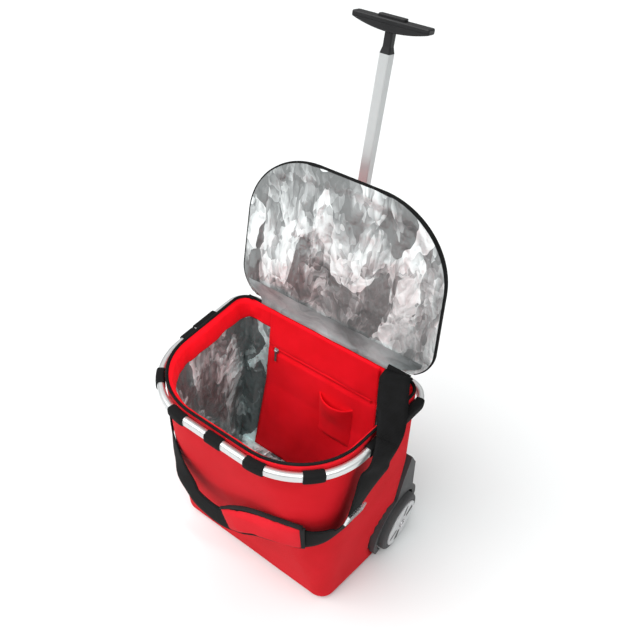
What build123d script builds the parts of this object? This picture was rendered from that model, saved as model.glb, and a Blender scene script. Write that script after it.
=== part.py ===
from build123d import *
import math
import os

# Driving dimensions in millimetres. X to the right, Y to the back, Z up, floor at 0.

# Bag: a D-shaped tub, straight at the back, with large corners in front
RIM_HEIGHT = 445.0
RIM_BACK_HALF = 196.0
RIM_FRONT_HALF = 173.0
RIM_FRONT_Y = -168.0
RIM_BACK_Y = 119.5
RIM_FRONT_RADIUS = 126.0
RIM_BACK_RADIUS = 30.0
WAIST_HEIGHT = 254.0
WAIST_BACK_Y = 127.0
WAIST_BACK_RADIUS = 14.0
BASE_HEIGHT = 8.0
BASE_BACK_HALF = 204.0
BASE_FRONT_HALF = 178.0
BASE_FRONT_Y = -82.0
BASE_BACK_Y = 104.0
BASE_FRONT_RADIUS = 30.0
BASE_BACK_RADIUS = 14.0

# Layers of the bag wall
FABRIC = 1.6
FOAM = 5.0
FOIL = 0.8
PANEL = 1.2
LAYER_GAP = 0.3
SMALLEST_RADIUS = 1.0
FACING_DEPTH = 36.0
RIM_TAPE_HEIGHT = 9.0
RIM_TAPE_WIDTH = 6.0

# Stiff bottom
FLOOR_HEIGHT = 52.0
FLOOR_BOARD = 4.0
RAIL_WIDTH = 22.0
RAIL_X = 110.0
RAIL_FRONT_INSET = 30.0
RAIL_BACK_INSET = 24.0
FOOT_RADIUS = 15.0
FOOT_X = 110.0
FOOT_Y = -50.0

# Inside back panel, its zipped pocket and its slip pocket
BACK_PANEL_GAP = 45.0
BACK_PANEL_FLARE = 23.0
POCKET_ZIP_HEIGHT = 352.0
POCKET_TAPE_WIDTH = 12.0
POCKET_TAPE = 0.8
POCKET_TAPE_END = 5.0
SLIDER_WIDTH = 9.0
SLIDER_LENGTH = 12.0
SLIDER_DEPTH = 3.0
PULL_WIDTH = 4.4
PULL_LENGTH = 26.0
PULL_THICKNESS = 1.2
BAIL_RADIUS = 0.8
BAIL_CLEARANCE = 0.08
EAR = 1.5
SLIP_POCKET_X = 42.0
SLIP_POCKET_WIDTH = 76.0
SLIP_POCKET_BULGE = 22.0
SLIP_POCKET_LOW = 207.0
SLIP_POCKET_HEIGHT = 98.0

# Aluminium hoop round the rim and its fabric loops
HOOP_DROP = 19.0
HOOP_GAP = 3.0
HOOP_DEPTH = 12.0
HOOP_TALL = 16.0
HOOP_WALL = 1.4
HOOP_FILLET = 5.2
HOOP_SLOT = 2.0
LOOP_CLOTH = 1.2
LOOP_LENGTH = 30.0
LOOP_SPACING = 76.0
LOOP_CORNER_X = 160.0
LOOP_CORNER_Y = -137.0
LOOP_CORNER_TURN = 45.0
LOOP_SIDE_Y = -29.0
LOOP_BACK_X = 90.0
JOINER_LENGTH = 60.0

# Carrying strap: webbing, pad and buckle
STRAP_WIDTH = 50.0
STRAP_THICKNESS = 2.0
ANCHOR_CLOTH = 2.0
ANCHOR_LEFT_Y = 18.0
ANCHOR_RIGHT_Y = 74.0
PAD_WIDTH = 58.0
PAD_THICKNESS = 9.0
BUCKLE_WIDTH = 56.0
BUCKLE_LENGTH = 18.0
BUCKLE_THICKNESS = 4.0
BUCKLE_GAP = 0.8
OUTWARD = -1

# Lid
LID_ANGLE = 91.6
LID_LIFT = 1.5
LID_MARGIN = 2.0
LID_COVER = 2.0
LID_FOAM = 8.0
LID_TAPE_WIDTH = 6.0
LID_TAPE_THICKNESS = 3.0
HINGE_BACK = 1.5
HINGE_END_GAP = 4.0
HINGE_STRIP_WIDTH = 8.0
TAB_LENGTH = 14.0
TAB_WIDTH = 6.0

# Wheels and chassis
WHEEL_RADIUS = 63.0
WHEEL_Y = 125.0
WHEEL_FACE = 219.0
TYRE_WIDTH = 22.0
TYRE_INSET = 2.0
TYRE_ROUND = 6.0
HUB_RADIUS = 50.0
HUB_WALL = 4.0
HUB_DISC = 5.0
HUB_BOSS_RADIUS = 14.0
HUB_SLOTS = 4
HUB_SLOT_TURN = 45.0
HUB_SLOT_SPREAD = 26.0
HUB_SLOT_WIDTH = 7.0
AXLE_RADIUS = 5.0
AXLE_CLEARANCE = 0.06
BUSH_WALL = 2.0
WASHER_RADIUS = 10.0
WASHER = 3.0
CAP_RADIUS = 9.0
CAP_LENGTH = 4.5
HOUSING_INNER = 184.0
HOUSING_PLATE = 6.5
HOUSING_OUTER = 204.5
HOUSING_WALL = 12.0
WHEEL_GAP = 5.0
HOUSING_LOW = 14.0
GUSSET_TOP_Y = 131.0
GUSSET_TOP_Z = 254.0
GUSSET_BACK_Y = 157.0
GUSSET_BACK_Z = 215.0
GUSSET_HEEL_Y = 187.0
GUSSET_HEEL_Z = 78.0
GUSSET_FRONT_Y = 117.0
GUSSET_FRONT_Z = 195.0
WELL_GAP = 0.5
BEAM_LOW = 42.0
BEAM_HIGH = 118.0
BEAM_BACK = 150.0
BEAM_GAP = 1.0
BEAM_WALL = 4.0
BEAM_BLOCK = 22.0
BACK_PLATE = 3.0

# Telescopic handle, a square tube in three stages on a leaning axis
HANDLE_LEAN = 0.08
HANDLE_FOOT_Y = 120.4
STAGE_WALL = 1.4
STAGE_GAP = 0.4
STAGE_RADIUS = 2.6
INNER_TUBE = 16.8
OUTER_LOW = 92.0
OUTER_TOP_DROP = 1.0
MIDDLE_OVERLAP = 60.0
MIDDLE_LENGTH = 307.0
INNER_OVERLAP = 32.0
INNER_LENGTH = 277.0
BRACKET_HEIGHT = 22.0
BRACKET_LIP = 6.0
BRACKET_HALF = 24.0
COLLAR_HEIGHT = 22.0
COLLAR_LIP = 4.0
COLLAR_WALL = 2.4
PLUG_LENGTH = 28.0
PLUG_GAP = 0.2
LOCK_PIN_RADIUS = 2.5
LOCK_PIN_SETBACK = 0.6
NECK_FLARE = 9.0
NECK_WIDTH = 13.0
GRIP_LENGTH = 122.0
GRIP_DEPTH = 19.0
GRIP_RISE = 45.0
GRIP_TALL = 17.0
GRIP_END = 8.0
GRIP_FILLET = 2.6
GRIP_SPLIT = 6.0
BUTTON_LENGTH = 44.0
BUTTON_DEPTH = 11.0
BUTTON_RISE = 3.6
BUTTON_BODY = 4.0
BUTTON_TRAVEL = 3.0
BUTTON_GAP = 0.3
ROD_RADIUS = 2.5
ROD_BORE_GAP = 0.5
SPRING_OUTER = 5.2
SPRING_INNER = 3.6

# Screws
SCREW_HEAD = 3.2
SCREW_HEAD_HEIGHT = 2.0
SCREW_SHANK = 1.6
SCREW_LENGTH = 8.0

# Places that follow from the values above
SHELL_TOP = RIM_HEIGHT - RIM_TAPE_HEIGHT
FOAM_INSET = FABRIC + LAYER_GAP
FOIL_INSET = FOAM_INSET + FOAM + LAYER_GAP
FACING_INSET = FOIL_INSET + PANEL
PANEL_INSET = FACING_INSET + LAYER_GAP
PANEL_FACE = PANEL_INSET + PANEL
TAPE_INSET = PANEL_FACE + LAYER_GAP
TAPE_FACE = TAPE_INSET + POCKET_TAPE
FOAM_FLOOR = FLOOR_HEIGHT + FLOOR_BOARD + LAYER_GAP
FOIL_FLOOR = FOAM_FLOOR + FOAM + LAYER_GAP
COMPARTMENT_FLOOR = FOIL_FLOOR + FOIL
MIDDLE_TUBE = INNER_TUBE + 2 * (STAGE_GAP + STAGE_WALL)
OUTER_TUBE = MIDDLE_TUBE + 2 * (STAGE_GAP + STAGE_WALL)
HOOP_HEIGHT = RIM_HEIGHT - HOOP_DROP
HINGE_STRIP_HALF = RIM_BACK_HALF - RIM_BACK_RADIUS - HINGE_END_GAP
RIM_SLIDER_X = HINGE_STRIP_HALF - 2 * SLIDER_WIDTH
RIM_SLIDER_Y = RIM_BACK_Y - FACING_INSET - LAYER_GAP
RIM_SLIDER_Z = SHELL_TOP - SLIDER_LENGTH
BACK_PANEL_TOP_HALF = HINGE_STRIP_HALF - BACK_PANEL_GAP
BACK_PANEL_LOW_HALF = BACK_PANEL_TOP_HALF + BACK_PANEL_FLARE
POCKET_TAPE_HALF = BACK_PANEL_TOP_HALF - POCKET_TAPE_END
POCKET_SLIDER_X = SLIDER_WIDTH - POCKET_TAPE_HALF
OUTER_HIGH = HOOP_HEIGHT - OUTER_TOP_DROP
MIDDLE_LOW = OUTER_HIGH - MIDDLE_OVERLAP
MIDDLE_HIGH = MIDDLE_LOW + MIDDLE_LENGTH
INNER_LOW = MIDDLE_HIGH - INNER_OVERLAP
INNER_HIGH = INNER_LOW + INNER_LENGTH
GRIP_TOP = INNER_HIGH + GRIP_RISE
HINGE_Y = RIM_BACK_Y + HINGE_BACK
HINGE_Z = RIM_HEIGHT + LID_LIFT
AXLE_CENTRE = (WHEEL_Y, WHEEL_RADIUS)
HUB_INNER = HOUSING_INNER + HOUSING_PLATE + WASHER

# Lengths that only shape cutting and trimming bodies
REACH = 2000.0
CUT = 1.0

nodes = {}


def mix(low, high, share):
    return low + (high - low) * share


def back_line(height):
    """Y and corner radius of the back wall at a height."""
    if height <= WAIST_HEIGHT:
        share = (height - BASE_HEIGHT) / (WAIST_HEIGHT - BASE_HEIGHT)
        return mix(BASE_BACK_Y, WAIST_BACK_Y, share), mix(BASE_BACK_RADIUS, WAIST_BACK_RADIUS, share)
    share = (height - WAIST_HEIGHT) / (RIM_HEIGHT - WAIST_HEIGHT)
    return mix(WAIST_BACK_Y, RIM_BACK_Y, share), mix(WAIST_BACK_RADIUS, RIM_BACK_RADIUS, share)


def plan(height, inset=0.0):
    """The bag's D outline at a height, drawn in by inset (a negative inset grows it)."""
    share = (height - BASE_HEIGHT) / (RIM_HEIGHT - BASE_HEIGHT)
    back_half = mix(BASE_BACK_HALF, RIM_BACK_HALF, share)
    front_half = mix(BASE_FRONT_HALF, RIM_FRONT_HALF, share)
    front_y = mix(BASE_FRONT_Y, RIM_FRONT_Y, share)
    front_radius = max(mix(BASE_FRONT_RADIUS, RIM_FRONT_RADIUS, share) - inset, SMALLEST_RADIUS)
    back_y, corner = back_line(height)
    back_radius = max(corner - inset, SMALLEST_RADIUS)
    slope = (back_half - front_half) / (back_y - front_y)
    draw = inset * math.hypot(1.0, slope)
    back_half = back_half - slope * inset - draw
    front_half = front_half + slope * inset - draw
    back_y = back_y - inset
    front_y = front_y + inset
    corners = [(-back_half, back_y), (-front_half, front_y), (front_half, front_y), (back_half, back_y)]
    radii = [back_radius, front_radius, front_radius, back_radius]
    return make_face(FilletPolyline(*corners, radius=radii, close=True))


def tub(low, high, inset=0.0):
    """The solid inside the bag's outline between two heights."""
    heights = [low] + [WAIST_HEIGHT] * (low < WAIST_HEIGHT < high) + [high]
    return loft([Pos(0, 0, height) * plan(height, inset) for height in heights], ruled=True)


def wall(low, high, inset, thickness):
    """A band of the bag's wall, open at both ends."""
    return tub(low, high, inset) - tub(low - CUT, high + CUT, inset + thickness)


def ring(height, tall, inner, outer):
    """A level hoop round the bag, between two distances outside its outline."""
    face = plan(height, -outer) - plan(height, -inner)
    return Pos(0, 0, height - tall / 2) * extrude(face, tall)


def block(x_range, y_range, z_range):
    size = [high - low for low, high in (x_range, y_range, z_range)]
    middle = [(high + low) / 2 for low, high in (x_range, y_range, z_range)]
    return Pos(*middle) * Box(*size)


def rod(radius, x_low, x_high, y, z):
    """A round bar along X."""
    return Pos((x_low + x_high) / 2, y, z) * Rot(0, 90, 0) * Cylinder(radius, x_high - x_low)


def both_sides(piece):
    return piece + mirror(piece, Plane.YZ)


# Wheel housings: a wheel arch with a gusset up the bag's back corner

def housing_profile(grow=0.0):
    """Side outline of a housing, on the plane of Y and Z."""
    arch = Pos(*AXLE_CENTRE) * Circle(WHEEL_RADIUS + WHEEL_GAP + HOUSING_WALL + grow)
    corners = [
        (GUSSET_FRONT_Y, GUSSET_FRONT_Z),
        (GUSSET_TOP_Y, GUSSET_TOP_Z),
        (GUSSET_BACK_Y, GUSSET_BACK_Z),
        (GUSSET_HEEL_Y, GUSSET_HEEL_Z),
        (GUSSET_HEEL_Y, WHEEL_RADIUS),
        (WHEEL_Y - HUB_RADIUS / 2, WHEEL_RADIUS),
    ]
    gusset = make_face(Polyline(*corners, close=True))
    if grow:
        gusset = offset(gusset, grow, kind=Kind.INTERSECTION)
    return arch + gusset


def side_extrude(profile, x_low, x_high):
    """Extrudes an outline drawn on Y and Z from one X to another."""
    return Plane.YZ.offset(x_low) * extrude(profile, x_high - x_low)


def well(gap):
    """Room that the bag leaves for both housings."""
    return both_sides(side_extrude(housing_profile(gap), HOUSING_INNER - gap, REACH / 4))


def housing():
    pocket_face = HOUSING_INNER + HOUSING_PLATE
    above = Pos(WHEEL_Y, HOUSING_LOW + REACH / 2) * Rectangle(REACH, REACH)
    body = side_extrude(housing_profile() & above, HOUSING_INNER, HOUSING_OUTER)
    pocket = rod(WHEEL_RADIUS + WHEEL_GAP, pocket_face, HOUSING_OUTER + CUT, *AXLE_CENTRE)
    bore = rod(AXLE_RADIUS + AXLE_CLEARANCE, HOUSING_INNER - CUT, HOUSING_OUTER + CUT, *AXLE_CENTRE)
    return body - pocket - bore


SHELL_WELL = well(WELL_GAP)
LINING_WELL = well(WELL_GAP + LAYER_GAP)


# Bag

def bag_tubs():
    shell = tub(BASE_HEIGHT, SHELL_TOP) - tub(BASE_HEIGHT + FABRIC, SHELL_TOP + CUT, FABRIC)
    nodes["outer_shell"] = shell - SHELL_WELL
    foam = tub(FOAM_FLOOR, SHELL_TOP, FOAM_INSET)
    foam -= tub(FOAM_FLOOR + FOAM, SHELL_TOP + CUT, FOAM_INSET + FOAM)
    nodes["insulation"] = foam - LINING_WELL
    facing_low = SHELL_TOP - FACING_DEPTH
    foil = tub(FOIL_FLOOR, facing_low - LAYER_GAP, FOIL_INSET)
    foil -= tub(COMPARTMENT_FLOOR, facing_low + CUT, FOIL_INSET + FOIL)
    nodes["foil_liner"] = foil - LINING_WELL
    nodes["facing_band"] = wall(facing_low, SHELL_TOP, FOIL_INSET, PANEL)
    nodes["rim_zip_tape"] = wall(SHELL_TOP + LAYER_GAP, RIM_HEIGHT, 0.0, RIM_TAPE_WIDTH)


def bag_bottom():
    board = tub(FLOOR_HEIGHT, FLOOR_HEIGHT + FLOOR_BOARD, FOAM_INSET)
    nodes["floor_board"] = board - LINING_WELL
    low = BASE_HEIGHT + FABRIC
    front = BASE_FRONT_Y + RAIL_FRONT_INSET
    back = BASE_BACK_Y - RAIL_BACK_INSET
    rail = block((RAIL_X - RAIL_WIDTH / 2, RAIL_X + RAIL_WIDTH / 2), (front, back), (low, FLOOR_HEIGHT))
    frame = both_sides(rail)
    for y in (front + RAIL_WIDTH / 2, back - RAIL_WIDTH / 2):
        frame += block((-RAIL_X, RAIL_X), (y - RAIL_WIDTH / 2, y + RAIL_WIDTH / 2), (low, FLOOR_HEIGHT))
    nodes["base_frame"] = frame
    foot = Pos(FOOT_X, FOOT_Y, BASE_HEIGHT / 2) * Cylinder(FOOT_RADIUS, BASE_HEIGHT)
    foot = chamfer(foot.edges().group_by(Axis.Z)[0], BASE_HEIGHT / 4)
    nodes["front_feet"] = both_sides(foot)


def on_back(thick_from, thick_to, face):
    """A sheet on the inside of the back wall, cut to a face drawn on X and Z."""
    sheet = wall(COMPARTMENT_FLOOR + LAYER_GAP, SHELL_TOP, thick_from, thick_to - thick_from)
    return sheet & (Plane.XZ * extrude(face, -REACH))


def back_panel():
    low = COMPARTMENT_FLOOR + LAYER_GAP
    corners = [
        (-BACK_PANEL_LOW_HALF, low),
        (BACK_PANEL_LOW_HALF, low),
        (BACK_PANEL_TOP_HALF, SHELL_TOP),
        (-BACK_PANEL_TOP_HALF, SHELL_TOP),
    ]
    nodes["back_panel"] = on_back(PANEL_INSET, PANEL_FACE, make_face(Polyline(*corners, close=True)))
    strip = Pos(0, POCKET_ZIP_HEIGHT) * Rectangle(2 * POCKET_TAPE_HALF, POCKET_TAPE_WIDTH)
    nodes["pocket_zip_tape"] = on_back(TAPE_INSET, TAPE_FACE, strip)


def slip_pocket():
    half = SLIP_POCKET_WIDTH / 2
    back = WAIST_BACK_Y
    lip = back - PANEL_FACE - SLIP_POCKET_BULGE
    low = SLIP_POCKET_LOW

    def bulge(shrink):
        side = half - shrink
        front = lip + shrink
        points = [(-side, back), (-side, lip + SLIP_POCKET_BULGE / 2)]
        arc = ThreePointArc(points[1], (0, front), (side, lip + SLIP_POCKET_BULGE / 2))
        edges = [Line(*points), arc, Line((side, lip + SLIP_POCKET_BULGE / 2), (side, back))]
        return make_face(edges + [Line((side, back), (-side, back))])

    pouch = extrude(bulge(0.0), SLIP_POCKET_HEIGHT)
    pouch -= Pos(0, 0, PANEL) * extrude(bulge(PANEL), SLIP_POCKET_HEIGHT)
    pouch = Pos(SLIP_POCKET_X, 0, low) * pouch
    room = tub(low - CUT, low + SLIP_POCKET_HEIGHT + CUT, PANEL_FACE + LAYER_GAP)
    nodes["slip_pocket"] = pouch & room


def zip_slider(name, x, y, z):
    """A slider with a bail pin, and the pull that hangs on it, in front of a tape at y."""
    body = block(
        (x - SLIDER_WIDTH / 2, x + SLIDER_WIDTH / 2),
        (y - SLIDER_DEPTH, y),
        (z - SLIDER_LENGTH / 2, z + SLIDER_LENGTH / 2),
    )
    pin_y = y - SLIDER_DEPTH - 2 * BAIL_RADIUS - BAIL_CLEARANCE
    gap = PULL_WIDTH / 2 + LAYER_GAP
    for side in (-1, 1):
        near, far = sorted((x + side * gap, x + side * (gap + EAR)))
        body += block((near, far), (pin_y - EAR, y - SLIDER_DEPTH), (z - EAR, z + EAR))
    nodes[name + "_slider"] = body + rod(BAIL_RADIUS, x - gap - EAR, x + gap + EAR, pin_y, z)
    pull = block(
        (x - PULL_WIDTH / 2, x + PULL_WIDTH / 2),
        (pin_y - PULL_THICKNESS / 2, pin_y + PULL_THICKNESS / 2),
        (z - PULL_LENGTH, z),
    )
    bore = BAIL_RADIUS + BAIL_CLEARANCE
    eye = rod(bore + PULL_THICKNESS / 2, x - PULL_WIDTH / 2, x + PULL_WIDTH / 2, pin_y, z)
    hole = rod(bore, x - PULL_WIDTH, x + PULL_WIDTH, pin_y, z)
    nodes[name + "_pull"] = pull + eye - hole
    return pin_y


POCKET_SLIDER_Y = back_line(POCKET_ZIP_HEIGHT + SLIDER_LENGTH / 2)[0] - TAPE_FACE - LAYER_GAP


# Hoop, loops and strap

def hoop_edges(body):
    """The edges of a level hoop's upper and lower faces."""
    return body.edges().filter_by(lambda edge: abs(edge.center().Z - HOOP_HEIGHT) > CUT)


def hoop():
    outer = HOOP_GAP + HOOP_DEPTH
    body = ring(HOOP_HEIGHT, HOOP_TALL, HOOP_GAP, outer)
    body = fillet(hoop_edges(body), HOOP_FILLET)
    core = ring(HOOP_HEIGHT, HOOP_TALL - 2 * HOOP_WALL, HOOP_GAP + HOOP_WALL, outer - HOOP_WALL)
    core = fillet(hoop_edges(core), HOOP_FILLET - HOOP_WALL)
    slot = block((-HOOP_SLOT / 2, HOOP_SLOT / 2), (0, REACH), (0, REACH))
    nodes["frame_tube"] = body - core - slot
    plug = ring(
        HOOP_HEIGHT,
        HOOP_TALL - 2 * (HOOP_WALL + LAYER_GAP),
        HOOP_GAP + HOOP_WALL + LAYER_GAP,
        outer - HOOP_WALL - LAYER_GAP,
    )
    plug = fillet(hoop_edges(plug), HOOP_FILLET - HOOP_WALL - LAYER_GAP)
    half = JOINER_LENGTH / 2
    nodes["frame_joiner"] = plug & block((-half, half), (0, REACH), (0, REACH))


def sleeve(cloth, gap):
    """A cloth sleeve round the whole hoop, reaching in to the bag's wall."""
    reach = HOOP_GAP + HOOP_DEPTH + gap
    tall = HOOP_TALL + 2 * gap
    body = ring(HOOP_HEIGHT, tall + 2 * cloth, -HOOP_DEPTH, reach + cloth)
    room = ring(HOOP_HEIGHT, tall, HOOP_GAP - gap, reach)
    low = HOOP_HEIGHT - HOOP_TALL
    return body - room - tub(low, SHELL_TOP, -LAYER_GAP)


def hoop_loops():
    cloth = sleeve(LOOP_CLOTH, LAYER_GAP)
    across = Box(LOOP_LENGTH, REACH / 10, REACH / 10)
    places = [Pos(x, RIM_FRONT_Y, HOOP_HEIGHT) for x in (-LOOP_SPACING, 0, LOOP_SPACING)]
    places += [Pos(x, RIM_BACK_Y, HOOP_HEIGHT) for x in (-LOOP_BACK_X, LOOP_BACK_X)]
    for side in (-1, 1):
        turn = Rot(0, 0, side * LOOP_CORNER_TURN)
        places.append(Pos(side * LOOP_CORNER_X, LOOP_CORNER_Y, HOOP_HEIGHT) * turn)
        places.append(Pos(side * RIM_FRONT_HALF, LOOP_SIDE_Y, HOOP_HEIGHT) * Rot(0, 0, 90))
    loops = [cloth & (place * across) for place in places]
    nodes["frame_loops"] = Compound([solid for loop in loops for solid in loop.solids()])
    wide = sleeve(ANCHOR_CLOTH, LAYER_GAP)
    across = Box(STRAP_WIDTH, REACH / 10, REACH / 10)
    anchors = [
        wide & (Pos(side * RIM_BACK_HALF, y, HOOP_HEIGHT) * Rot(0, 0, 90) * across)
        for side, y in ((-1, ANCHOR_LEFT_Y), (1, ANCHOR_RIGHT_Y))
    ]
    nodes["strap_anchors"] = Compound([solid for anchor in anchors for solid in anchor.solids()])


# Route of the strap from the left anchor round the front to the rim's right back corner.
# Each station has a share of the rim's half width, a Y and a drop below the rim for the middle of the
# webbing, and the direction of its width.
STRAP_LEFT = [
    ((-1.0561, 18, 17), (-0.08, 1, 0)),
    ((-1.0561, 12, 43), (-0.05, 1, -0.15)),
    ((-1.0153, -12, 75), (0.1, 0.85, -0.5)),
    ((-1.0102, -65, 118), (0.05, 0.5, -0.85)),
    ((-0.8316, -117, 155), (0, 0.3, -0.95)),
    ((-0.6020, -146, 192), (0, 0.35, -0.93)),
    ((-0.4286, -148, 241), (-0.1, 0.4, -0.9)),
    ((-0.2653, -150, 255), (0, 0.35, -0.93)),
    ((-0.0204, -151, 251), (0, 0.35, -0.93)),
]
STRAP_PAD = [
    ((0.2653, -149, 213), (0, 0.35, -0.93)),
    ((0.5102, -145, 194), (0, 0.4, -0.9)),
    ((0.7602, -133, 185), (0, 0.45, -0.89)),
]
STRAP_TAIL = [
    ((0.8776, -112, 185), (0.1, 0.6, -0.8)),
    ((0.9541, -87, 177), (0, 0.68, -0.73)),
    ((1.0051, -75, 151), (-0.1, 0.72, -0.68)),
]
STRAP_RIGHT = [
    ((1.0255, -66, 125), (-0.05, 0.7, -0.71)),
    ((1.0434, -58, 93), (0.1, 0.72, -0.69)),
    ((1.0612, -48, 59), (0.3, 0.7, -0.65)),
    ((1.0908, -39, 29), (0.25, 0.8, -0.55)),
]
STRAP_ARCH = [
    ((1.0439, -5, -1.5), (0.5, 0.8, -0.25)),
    ((0.9286, 36, -18), (0.7, 0.7, -0.1)),
    ((0.8061, 84, -16), (0.65, 0.76, 0)),
    ((0.7755, 111, -2.2), (1, 0.2, 0)),
]


def strap_places():
    """A plane at each station of the strap, with X across the webbing and Z along it."""
    stations = STRAP_LEFT + STRAP_PAD + STRAP_TAIL + STRAP_RIGHT + STRAP_ARCH
    middles = [Vector(share * RIM_BACK_HALF, y, RIM_HEIGHT - drop) for (share, y, drop), across in stations]
    places = []
    for index, middle in enumerate(middles):
        before = middles[max(index - 1, 0)]
        after = middles[min(index + 1, len(middles) - 1)]
        along = (after - before).normalized()
        side = Vector(*stations[index][1])
        side = (side - along * side.dot(along)).normalized()
        places.append(Plane(origin=middle, x_dir=side, z_dir=along))
    return places


def ribbon(places, width, thickness, lift=0.0):
    """A flat band through the strap's planes, lifted off the webbing on its outer side."""
    return loft([place * Pos(0, lift) * Rectangle(width, thickness) for place in places], ruled=True)


def strap():
    places = strap_places()
    pad_first = len(STRAP_LEFT) - 1
    pad_last = pad_first + len(STRAP_PAD)
    buckle_first = pad_last + len(STRAP_TAIL)
    arch_first = buckle_first + len(STRAP_RIGHT)
    nodes["strap_left"] = ribbon(places[:pad_last + 1], STRAP_WIDTH, STRAP_THICKNESS)
    nodes["strap_right"] = ribbon(places[pad_last:arch_first + 1], STRAP_WIDTH, STRAP_THICKNESS)
    nodes["strap_arch"] = ribbon(places[arch_first:], STRAP_WIDTH, STRAP_THICKNESS)
    pad_lift = STRAP_THICKNESS / 2 + LAYER_GAP + PAD_THICKNESS / 2
    pad_places = places[pad_first:pad_last + 1]
    nodes["shoulder_pad"] = ribbon(pad_places, PAD_WIDTH, PAD_THICKNESS, OUTWARD * pad_lift)
    near, far = places[buckle_first], places[buckle_first + 1]
    along = (far.origin - near.origin).normalized()
    side = near.x_dir + far.x_dir
    side = (side - along * side.dot(along)).normalized()
    seat = Plane(origin=(near.origin + far.origin) * 0.5, x_dir=side, z_dir=along)
    buckle_lift = STRAP_THICKNESS / 2 + BUCKLE_GAP + BUCKLE_THICKNESS / 2
    plate = Rectangle(BUCKLE_WIDTH, BUCKLE_LENGTH)
    for shift in (-1, 1):
        plate -= Pos(0, shift * BUCKLE_LENGTH / 4) * Rectangle(STRAP_WIDTH, BUCKLE_LENGTH / 5)
    buckle = Pos(0, 0, -BUCKLE_THICKNESS / 2) * extrude(plate, BUCKLE_THICKNESS)
    nodes["strap_buckle"] = seat * Pos(0, OUTWARD * buckle_lift, 0) * Rot(90, 0, 0) * buckle


# Lid, drawn closed on the rim and turned up to its open rest

def opened(piece):
    return Pos(0, HINGE_Y, HINGE_Z) * Rot(-LID_ANGLE, 0, 0) * Pos(0, -HINGE_Y, -HINGE_Z) * piece


def lid():
    def sheet(low, thick, grow):
        return Pos(0, 0, HINGE_Z + low) * extrude(plan(RIM_HEIGHT, -grow), thick)

    ahead = block((-REACH, REACH), (-REACH, RIM_BACK_Y - LAYER_GAP), (0, REACH))
    foil_low = LAYER_GAP
    foam_low = foil_low + FOIL + LAYER_GAP
    cover_low = foam_low + LID_FOAM + LAYER_GAP
    nodes["lid_foil"] = opened(sheet(foil_low, FOIL, LID_MARGIN) & ahead)
    nodes["lid_foam"] = opened(sheet(foam_low, LID_FOAM, LID_MARGIN) & ahead)
    nodes["lid_cover"] = opened(sheet(cover_low, LID_COVER, LID_MARGIN) & ahead)
    inner = LID_MARGIN + LAYER_GAP
    tape = sheet(foam_low, LID_TAPE_THICKNESS, inner + LID_TAPE_WIDTH)
    tape -= sheet(foam_low - CUT, REACH / 10, inner)
    front = block((-REACH, REACH), (-REACH, RIM_BACK_Y - RIM_BACK_RADIUS / 2), (0, REACH))
    nodes["lid_zip_tape"] = opened(tape & front)


def hinge():
    """Fabric strip that joins the lid to the rim, and the tabs at its ends."""
    back = RIM_BACK_Y + HINGE_BACK
    strip = block(
        (-HINGE_STRIP_HALF, HINGE_STRIP_HALF),
        (back, back + FOIL),
        (RIM_HEIGHT - HINGE_STRIP_WIDTH, RIM_HEIGHT),
    )
    top = block(
        (-HINGE_STRIP_HALF, HINGE_STRIP_HALF),
        (back - RIM_TAPE_WIDTH, back + FOIL),
        (RIM_HEIGHT, RIM_HEIGHT + FOIL),
    )
    fold = rod(LID_LIFT, -HINGE_STRIP_HALF, HINGE_STRIP_HALF, HINGE_Y, HINGE_Z)
    nodes["lid_hinge_strip"] = strip + top + fold
    tab = block(
        (HINGE_STRIP_HALF + LAYER_GAP, HINGE_STRIP_HALF + TAB_LENGTH),
        (RIM_BACK_Y - RIM_TAPE_WIDTH - TAB_WIDTH / 2, RIM_BACK_Y - RIM_TAPE_WIDTH + TAB_WIDTH / 2),
        (RIM_HEIGHT, RIM_HEIGHT + FOIL),
    )
    nodes["hinge_end_tabs"] = both_sides(tab)


# Wheels and chassis

def wheel(side):
    """Tyre, hub and bush of one wheel, drawn on the right and mirrored for the left."""
    tyre_out = WHEEL_FACE - TYRE_INSET
    tyre = rod(WHEEL_RADIUS, tyre_out - TYRE_WIDTH, tyre_out, *AXLE_CENTRE)
    tyre = fillet(tyre.edges().filter_by(GeomType.CIRCLE), TYRE_ROUND)
    seat = HUB_RADIUS + LAYER_GAP
    tyre -= rod(seat, 0, WHEEL_FACE + CUT, *AXLE_CENTRE)
    bush_radius = AXLE_RADIUS + AXLE_CLEARANCE + BUSH_WALL
    hub = rod(HUB_RADIUS, tyre_out - TYRE_WIDTH, WHEEL_FACE, *AXLE_CENTRE)
    hub -= rod(HUB_RADIUS - HUB_WALL, 0, WHEEL_FACE - HUB_DISC, *AXLE_CENTRE)
    hub += rod(HUB_BOSS_RADIUS, HUB_INNER, WHEEL_FACE, *AXLE_CENTRE)
    hub -= rod(bush_radius, 0, WHEEL_FACE + CUT, *AXLE_CENTRE)
    slot_low = HUB_BOSS_RADIUS + HUB_WALL
    slot_high = HUB_RADIUS - 2 * HUB_WALL
    for index in range(HUB_SLOTS):
        spread = HUB_SLOT_SPREAD if index % 2 else -HUB_SLOT_SPREAD
        angle = HUB_SLOT_TURN + 180 * (index // 2) + spread
        slot = Pos((slot_low + slot_high) / 2, 0) * SlotOverall(slot_high - slot_low, HUB_SLOT_WIDTH)
        slot = Pos(*AXLE_CENTRE) * Rot(0, 0, angle) * slot
        hub -= side_extrude(slot, WHEEL_FACE - 2 * HUB_DISC, WHEEL_FACE + HUB_DISC)
    bush = rod(bush_radius, HUB_INNER, WHEEL_FACE, *AXLE_CENTRE)
    bush -= rod(AXLE_RADIUS + AXLE_CLEARANCE, 0, WHEEL_FACE + CUT, *AXLE_CENTRE)
    for name, piece in (("tyre", tyre), ("hub", hub), ("bush", bush)):
        label = "right" if side > 0 else "left"
        nodes[f"{name}_{label}"] = piece if side > 0 else mirror(piece, Plane.YZ)


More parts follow.
